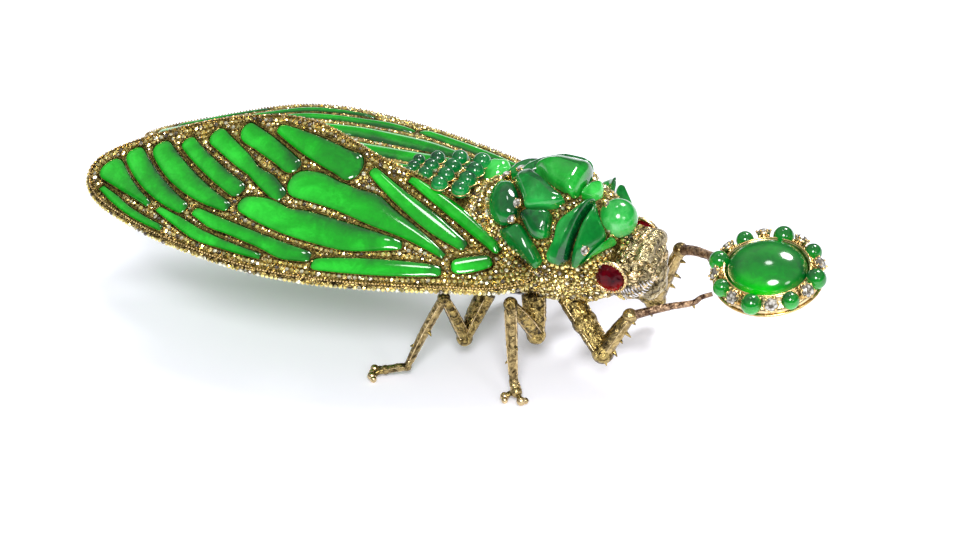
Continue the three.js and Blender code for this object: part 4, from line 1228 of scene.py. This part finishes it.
# Wings: panels are strips round a bowed centre line, from the wing root towards the tip and outwards
wing = {
    "thickness": 1.3, "proud": 0.35, "gap": 0.3, "thinnest": 0.3,
    "mesh": 1.6,  # spacing of the points inside the frame
    "rootX": 26.0, "rootHeight": 32.0, "rootAcross": 12.0,
    "archMiddle": 61.0, "archRate": 0.0023, "crest": 1.2, "crestEnd": 2.5, "crestFade": 1.5,
    "swell": 0.26,  # how far the polished jade spreads over its seat, so that little metal shows between
    "leafRise": 0.5,  # how much higher the innermost panel stands
    "inset": [0.12, 0.1],  # how deep a panel's edge lies in the frame, from above and from below
    "dome": [2.6, 0.6, 14], "domeRise": 0.16,  # powers across, steepness of the ends, share of the width
    "edge": [0.45, 0.55],  # the rim's wire: share of the thickness at which it lies, radius
    "colletWire": 0.13,
    "bowMiddle": 65.0, "bowLength": 18.0,  # where the far wing's front edge rises most, and how it fades
    "near": {"side": "near", "across": -1, "slope": 0.4, "droop": 0.0, "sweep": 0.0, "lift": -0.25,
             "bow": 0.0, "panels": 16, "edging": 1, "shares": "mixed"},
    "far": {"side": "far", "across": 1, "slope": 0.26, "droop": 0.0655, "sweep": 0.03, "lift": 0.1,
            "bow": 0.085, "panels": 15, "edging": 3, "shares": "yellow"},
    # panels: start, end, bow, half widths, then bulges [share along, side, depth, spread]
    "panels": [
        [[78.6, 20.2], [91.6, 12], -0.4, [0.3, 1.2, 2.8]],
        [[70.6, 20.2], [87.4, 8.5], -1.4, [0.9, 1.7, 1.6]],
        [[62, 18.3], [82.3, 6.7], -1.8, [0.7, 1.9, 1.6]],
        [[60.9, 14.6], [77, 5.4], -0.6, [1.5, 1.4, 1.2]],
        [[52.4, 14], [71.8, 3.4], 0, [1.3, 1.4, 1.6], [0.4, 1, -0.45, 0.09], [0.42, -1, -0.3, 0.09],
         [0.22, 1, 0.4, 0.1]],
        [[52, 7.2], [65.9, 1.5], -0.1, [1.1, 1.6, 1.2], [0.12, -1, 0.5, 0.12], [0.85, -1, 0.4, 0.12]],
        [[39.8, 5], [58.8, 0.5], -0.1, [2.1, 2, 0.5], [0.08, 1, 0.5, 0.09], [0.1, -1, 0.4, 0.08]],
        [[17.6, 16.3], [52.2, 10.5], 1.5, [0.3, 2.2, 2.8], [0.5, 1, 1.0, 0.09], [0.45, -1, 0.5, 0.16],
         [0.84, 1, 0.5, 0.07]],
        [[26, 17], [60, 16.8], -1.8, [0.6, 2.8, 1.3], [0.7, 1, -0.5, 0.05], [0.86, 1, 0.5, 0.08],
         [0.3, -1, 0.5, 0.14]],
        [[41.8, 24.7], [68.4, 20.3], -1, [0.8, 1.1, 0.6], [0.2, -1, 0.9, 0.13], [0.8, -1, 0.5, 0.1]],
        [[51.4, 27.1], [76, 20.9], -1.4, [0.3, 0.7, 0.3], [0.55, -1, 0.5, 0.16], [0.75, 1, 0.3, 0.12]],
        [[73.6, 25], [90.2, 17.4], -0.9, [0.3, 0.5, 0.2], [0.75, 1, 0.3, 0.15]],
        [[16.9, 19.4], [40.6, 26], -0.2, [0.8, 1.5, 0.9]],
        [[8.8, 13.7], [15, 17.7], -0.1, [0.8, 1.4, 1.1]],
        [[14.5, 12.9], [37.3, 4.1], -0.7, [0.7, 1.3, 0.6], [0.3, 1, 0.5, 0.25], [0.3, -1, 0.3, 0.25]],
        [[8.2, 11.2], [29.4, 3.8], 0.4, [0.7, 1, 0.2], [0.4, 1, 0.4, 0.3]],
    ],
    "rim": [
        [0.3, 13], [5, 18], [14, 21.8], [28, 26.4], [42, 29.3], [56, 29.6], [72, 26.9], [84, 22.7],
        [91, 18.9], [94.4, 14.5], [93.6, 10.2], [87, 6], [76, 1.9], [66, -0.9], [57, -2.4], [50, -2],
        [43, -0.2], [36, 1.6], [22, 3.5], [14, 6], [7.8, 9.6],
    ],
}
# Small stones on the wings: radii, rows beside the rim and the panels, and the border of the near wing
pave = {
    "tiers": [0.47, 0.4, 0.33, 0.26, 0.2], "attempts": 14000, "grain": 0.14, "pitch": 1.02, "rimRows": 3,
    "first": 1.1, "beside": -0.7, "borderPitch": 0.92, "borderRadius": 0.44,
    "beadPitch": 0.62, "beadRadius": 0.26,
}


def wingPoint(pose, places, thick=0.0):
    along, across = places[..., 0], places[..., 1]
    arch = wing["archRate"] * (wing["archMiddle"] - along) ** 2
    crest = wing["crest"] / (1 + np.exp((across - wing["crestEnd"]) / wing["crestFade"]))
    fall = pose["slope"] * (across - wing["rootAcross"]) + pose["droop"] * along + arch
    side = pose["across"] * (across - pose["sweep"] * along)
    fade = np.exp(-((along - wing["bowMiddle"]) / wing["bowLength"]) ** 2)
    bow = pose["bow"] * np.maximum(across, 0) * fade
    height = wing["rootHeight"] - fall + bow + crest + pose["lift"] + thick
    return np.stack([wing["rootX"] - along, side, height], -1)


def stripLine(panel, t, grow=0.0):
    # centre, half width and outward direction of a panel at shares t of its length
    start, end, bow, widths, *bulges = panel
    start, end = np.array(start, float), np.array(end, float)
    length = np.linalg.norm(end - start)
    along = (end - start) / length
    aside = np.array([along[1], -along[0]])
    middle = 4 * t * (1 - t)
    centre = start + np.outer(t * length + grow * (2 * t - 1), along) + np.outer(bow * middle, aside)
    half = widths[0] * (1 - t) * (1 - 2 * t) + widths[1] * middle + widths[2] * t * (2 * t - 1)
    for share, width in ((t, widths[0]), (1 - t, widths[2])):
        cap = min(width / length, 0.4)
        half = np.where(share < cap, half * np.sqrt(np.clip(1 - (1 - share / cap) ** 2, 0, 1)), half)
    half = np.maximum(half, wing["thinnest"]) + grow
    slope = unit(along + np.outer(bow * 4 * (1 - 2 * t) / length, aside))
    out = np.column_stack([slope[:, 1], -slope[:, 0]])
    for at, side, depth, spreads in bulges:
        push = depth / 2 * np.exp(-((t - at) / spreads) ** 2)
        half = half + push
        centre = centre + out * (side * push)[:, None]
    return centre, half, out


def easedShares(count):
    # shares of a length, closer together at the ends
    return (1 - np.cos(math.pi * np.arange(count) / (count - 1))) / 2


def stripOutline(panel, gap, steps=22):
    # gap is a share of the wing's gap between jade and metal
    centre, half, out = stripLine(panel, easedShares(steps + 1), wing["gap"] * gap + wing["swell"])
    return np.vstack([centre + out * half[:, None], (centre - out * half[:, None])[::-1]])


def wingJade(pose, number, panel, rows=34, columns=13):
    # domed strip of jade, a little proud of the frame on both faces
    t = easedShares(rows)
    centre, half, out = stripLine(panel, t, wing["swell"])
    s = np.sin(np.linspace(-math.pi / 2, math.pi / 2, columns))
    plan = centre[:, None] + out[:, None] * (half[:, None] * s[None])[..., None]
    flatness, power, steep = wing["dome"]
    edge = np.clip(np.minimum(t, 1 - t) * steep, 0, 1)
    dome = (1 - np.abs(s)[None] ** flatness) ** power * np.sqrt(edge)[:, None]
    rise = wing["proud"] + wing["domeRise"] * half.max()
    if number == len(wing["panels"]):
        rise += wing["leafRise"]
    above, below = wing["inset"]
    top = wingPoint(pose, plan, wing["thickness"] - above + rise * dome)
    low = wingPoint(pose, plan, below - wing["proud"] * dome)
    points = np.concatenate([top.reshape(-1, 3), low.reshape(-1, 3)])
    count = rows * columns
    sheet = gridFaces(rows, columns)
    faces = flip(sheet) + [tuple(i + count for i in face) for face in sheet]
    border = [*range(columns), *range(2 * columns - 1, count, columns),
              *range(count - 2, count - columns - 1, -1), *range(count - 2 * columns, 0, -columns)]
    faces += [(a, b, b + count, a + count) for a, b in zip(border, border[1:] + border[:1])]
    # painted glow: painted light as if coming through, brighter towards the front edge and the tip; painted
    # darker at the root end and where the dome falls to the edges
    glow = 0.3 + 0.36 * t[:, None] + 0.3 * s[None] * (1 if out[0, 1] > 0 else -1) - 0.3 * (1 - dome)
    if pose["across"] > 0:
        faces = flip(faces)
    makePiece(f"{pose['side']}WingJade{number:02d}", points, faces, ["wingJade"], slot="wing_jade",
              stands=[f"{pose['side']}_wing_panel_{number:02d}"], glow=np.tile(glow.ravel(), 2))


def wingPlate(pose, rim, holes):
    # flat net of triangles between the rim and the holes, then its upper and under side and its walls
    columns, lines = (np.arange(low, high, wing["mesh"]) for low, high in zip(rim.min(0), rim.max(0)))
    inner = np.array([(x, y) for x in columns for y in lines])
    edgeTree = nearOutlines([rim, *holes])
    inner = [p for p in inner[between(inner, rim, holes)] if edgeTree.find((*p, 0))[2] > 0.5]
    edges, start = [], 0
    for loop in (rim, *holes):
        edges += [(start + i, start + (i + 1) % len(loop)) for i in range(len(loop))]
        start += len(loop)
    net = geometry.delaunay_2d_cdt([Vector(p) for p in (*rim, *np.vstack(holes), *inner)], edges, [], 0, 1e-6)
    flat = np.array([tuple(p) for p in net[0]])
    triangles = np.array([tuple(f) for f in net[2]])
    triangles = triangles[between(flat[triangles].mean(1), rim, holes)]
    first, second, third = (flat[triangles[:, k]] for k in range(3))
    turned = np.cross(second - first, third - first) < 0
    triangles[turned] = triangles[turned][:, ::-1]
    count = len(flat)
    points = np.concatenate([wingPoint(pose, flat, wing["thickness"]), wingPoint(pose, flat)])
    sides = dict.fromkeys((a, b) for face in triangles.tolist() for a, b in zip(face, face[1:] + face[:1]))
    walls = [(a, b, b + count, a + count) for a, b in sides if (b, a) not in sides]
    faces = flip(triangles.tolist()) + (triangles + count).tolist() + walls
    if pose["across"] > 0:
        faces = flip(faces)
    used = sorted({i for face in faces for i in face})
    place = {old: new for new, old in enumerate(used)}
    which = [0] * len(triangles) + [1] * len(triangles) + [2] * len(walls)
    return (points[used], [tuple(place[i] for i in face) for face in faces]), which


def wingCasting(pose):
    heap = Heap()
    rim = catmull(wing["rim"], 9, closed=True)
    panels = wing["panels"][:pose["panels"]]
    heap.put(*wingPlate(pose, rim, [stripOutline(panel, 0.5) for panel in panels]))
    height, radius = wing["edge"]
    edge = wingPoint(pose, rim, wing["thickness"] * height)
    heap.put(sweep(edge, radius, 10, closed=True), pose["edging"])
    if pose["side"] == "near":
        # a row of stones round the edge, facing outwards
        border = offsetRow(rim, -0.5, pave["borderPitch"])
        ahead = np.roll(border, -1, 0) - np.roll(border, 1, 0)
        aside = np.column_stack([-ahead[:, 1], ahead[:, 0]])
        if insideOutline(border + aside, rim).mean() >= 0.5:
            aside = -aside
        seat = wingPoint(pose, border, wing["thickness"] * 0.5)
        away = unit(wingPoint(pose, border + aside, wing["thickness"] * 0.5) - seat) + np.array([0, 0, 0.45])
        spread(heap, cutStone, seat, away, pave["borderRadius"], 0.1, 5, 0.2, pickTints(len(seat)))

    def above(u, v):
        return wingPoint(pose, np.column_stack([u, v]), wing["thickness"])

    def upward(points):
        return np.broadcast_to(np.array([0, 0, 1.0]), points.shape)

    def free(places):
        return ~insideTorso(above(*places.T), 0.5)
    here, normal = surfaceFrames(above, offsetRow(rim, 0.0, pave["beadPitch"]), upward)
    spread(heap, grainForm, here, normal, pave["beadRadius"], 0.1, 4)
    for panel in panels:
        # a thin collet round each panel
        raised = wingPoint(pose, stripOutline(panel, 0.55, 18), wing["thickness"] + 0.02)
        heap.put(sweep(raised, wing["colletWire"], 5, closed=True))
    holes = [stripOutline(panel, 0.6, 16) for panel in panels]
    pitch = pave["pitch"]
    seeds = [offsetRow(rim, pave["first"] + pitch * k, pitch) for k in range(pave["rimRows"])]
    seeds += [offsetRow(hole, pave["beside"], pitch) for hole in holes]
    stones = fillRegion(offsetRow(rim, 0.0, 0.8), holes, pave["tiers"], pave["attempts"], seeds, free)
    setStones(heap, above, upward, stones, (5, 6), pave["grain"], pose["shares"])
    # the upper face takes the darker bed gold, painted shade between the small stones; the under side is
    # ordinary gold
    finishes = ["bedGold", "oldGold", "oldGold", "greyMetal", "grainGold", "smallStone", "grainGold"]
    heap.make(f"{pose['side']}WingCasting", finishes, stands=[f"{pose['side']}_wing_frame"])
    print(pose["side"], "wing made,", len(stones), "stones")


for pose in (wing["near"], wing["far"]):
    for number, panel in enumerate(wing["panels"][:pose["panels"]], 1):
        wingJade(pose, number, panel)
    wingCasting(pose)

# Floor, light and camera
studio = {
    "floorHalf": 2.0, "focus": (0.0, 18.4, 0.0), "turn": 26.0, "tilt": 33.0, "roll": -4.2,
    "distance": 960.0, "pixels": 4800.0, "frameWidth": 968.0, "sensor": 36.0,
    "world": 0.56, "floorGlow": 0.2, "aim": (0, 0, 0.02),
    # name, place, size, power
    "lights": [
        ["topLight", (-0.05, 0.12, 0.66), 0.1, 0.36], ["frontLight", (0.26, -0.52, 0.56), 0.3, 5.0],
        ["fillLight", (0.7, -0.35, 0.4), 0.2, 0.8], ["backLight", (0.15, 0.62, 0.76), 0.3, 6.5],
    ],
    "sky": [(0.0, (0.6, 0.6, 0.64)), (0.1, (0.16, 0.16, 0.18)), (0.35, (0.3, 0.3, 0.33)),
            (0.6, (1.0, 1.0, 1.0)), (0.95, (0.8, 0.8, 0.84))],
}


def addObject(name, data):
    made = bpy.data.objects.new(name, data)
    bpy.context.scene.collection.objects.link(made)
    return made


def makeStudio():
    mesh = bpy.data.meshes.new("floor")
    half = studio["floorHalf"]
    corners = [(-half, -half, 0), (half, -half, 0), (half, half, 0), (-half, half, 0)]
    mesh.from_pydata(corners, [], [(0, 1, 2, 3)])
    floor = addObject("floor", mesh)
    material, shade, feed = newMaterial("floorPaint", {
        "Roughness": 0.5, "Specular IOR Level": 0.2, "Emission Color": (0.9, 0.9, 0.97, 1),
        "Emission Strength": studio["floorGlow"],
    })
    feed(Base_Color=shade.noise(3.0, 2.0).ramp([(0.3, (0.86, 0.86, 0.93)), (0.7, (0.89, 0.89, 0.95))]))
    mesh.materials.append(material)
    world = bpy.data.worlds.new("studio")
    bpy.context.scene.world = world
    world.use_nodes = True
    shade = Shade(world.node_tree)
    around = shade.add("ShaderNodeTexCoord")
    height = shade.add("ShaderNodeSeparateXYZ", None, {"Vector": around}, out=2)
    back = world.node_tree.nodes["Background"]
    world.node_tree.links.new(height.ramp(studio["sky"]).socket, back.inputs["Color"])
    back.inputs["Strength"].default_value = studio["world"]
    for name, place, size, power in studio["lights"]:
        light = bpy.data.lights.new(name, "AREA")
        light.shape = "DISK"
        light.size = size
        light.energy = power
        lamp = addObject(name, light)
        lamp.location = place
        lamp.rotation_euler = (Vector(studio["aim"]) - Vector(place)).to_track_quat("-Z", "Y").to_euler()
    bpy.context.scene.view_settings.view_transform = "Standard"


def makeCamera():
    turn, tilt, roll = (math.radians(studio[key]) for key in ("turn", "tilt", "roll"))
    look = Vector((-math.sin(turn) * math.cos(tilt), math.cos(turn) * math.cos(tilt), -math.sin(tilt)))
    right = Vector((math.cos(turn), math.sin(turn), 0))
    above = right.cross(look)
    side = right * math.cos(roll) + above * math.sin(roll)
    top = above * math.cos(roll) - right * math.sin(roll)
    camera = addObject("camera", bpy.data.cameras.new("camera"))
    place = Vector(rowFrame(studio["focus"])) - look * studio["distance"] * mm
    camera.matrix_world = Matrix((
        (side.x, top.x, -look.x, place.x), (side.y, top.y, -look.y, place.y),
        (side.z, top.z, -look.z, place.z), (0, 0, 0, 1)))
    camera.data.sensor_width = studio["sensor"]
    camera.data.lens = studio["pixels"] * studio["sensor"] / studio["frameWidth"]
    bpy.context.scene.camera = camera


makeStudio()
makeCamera()
print("studio ready")
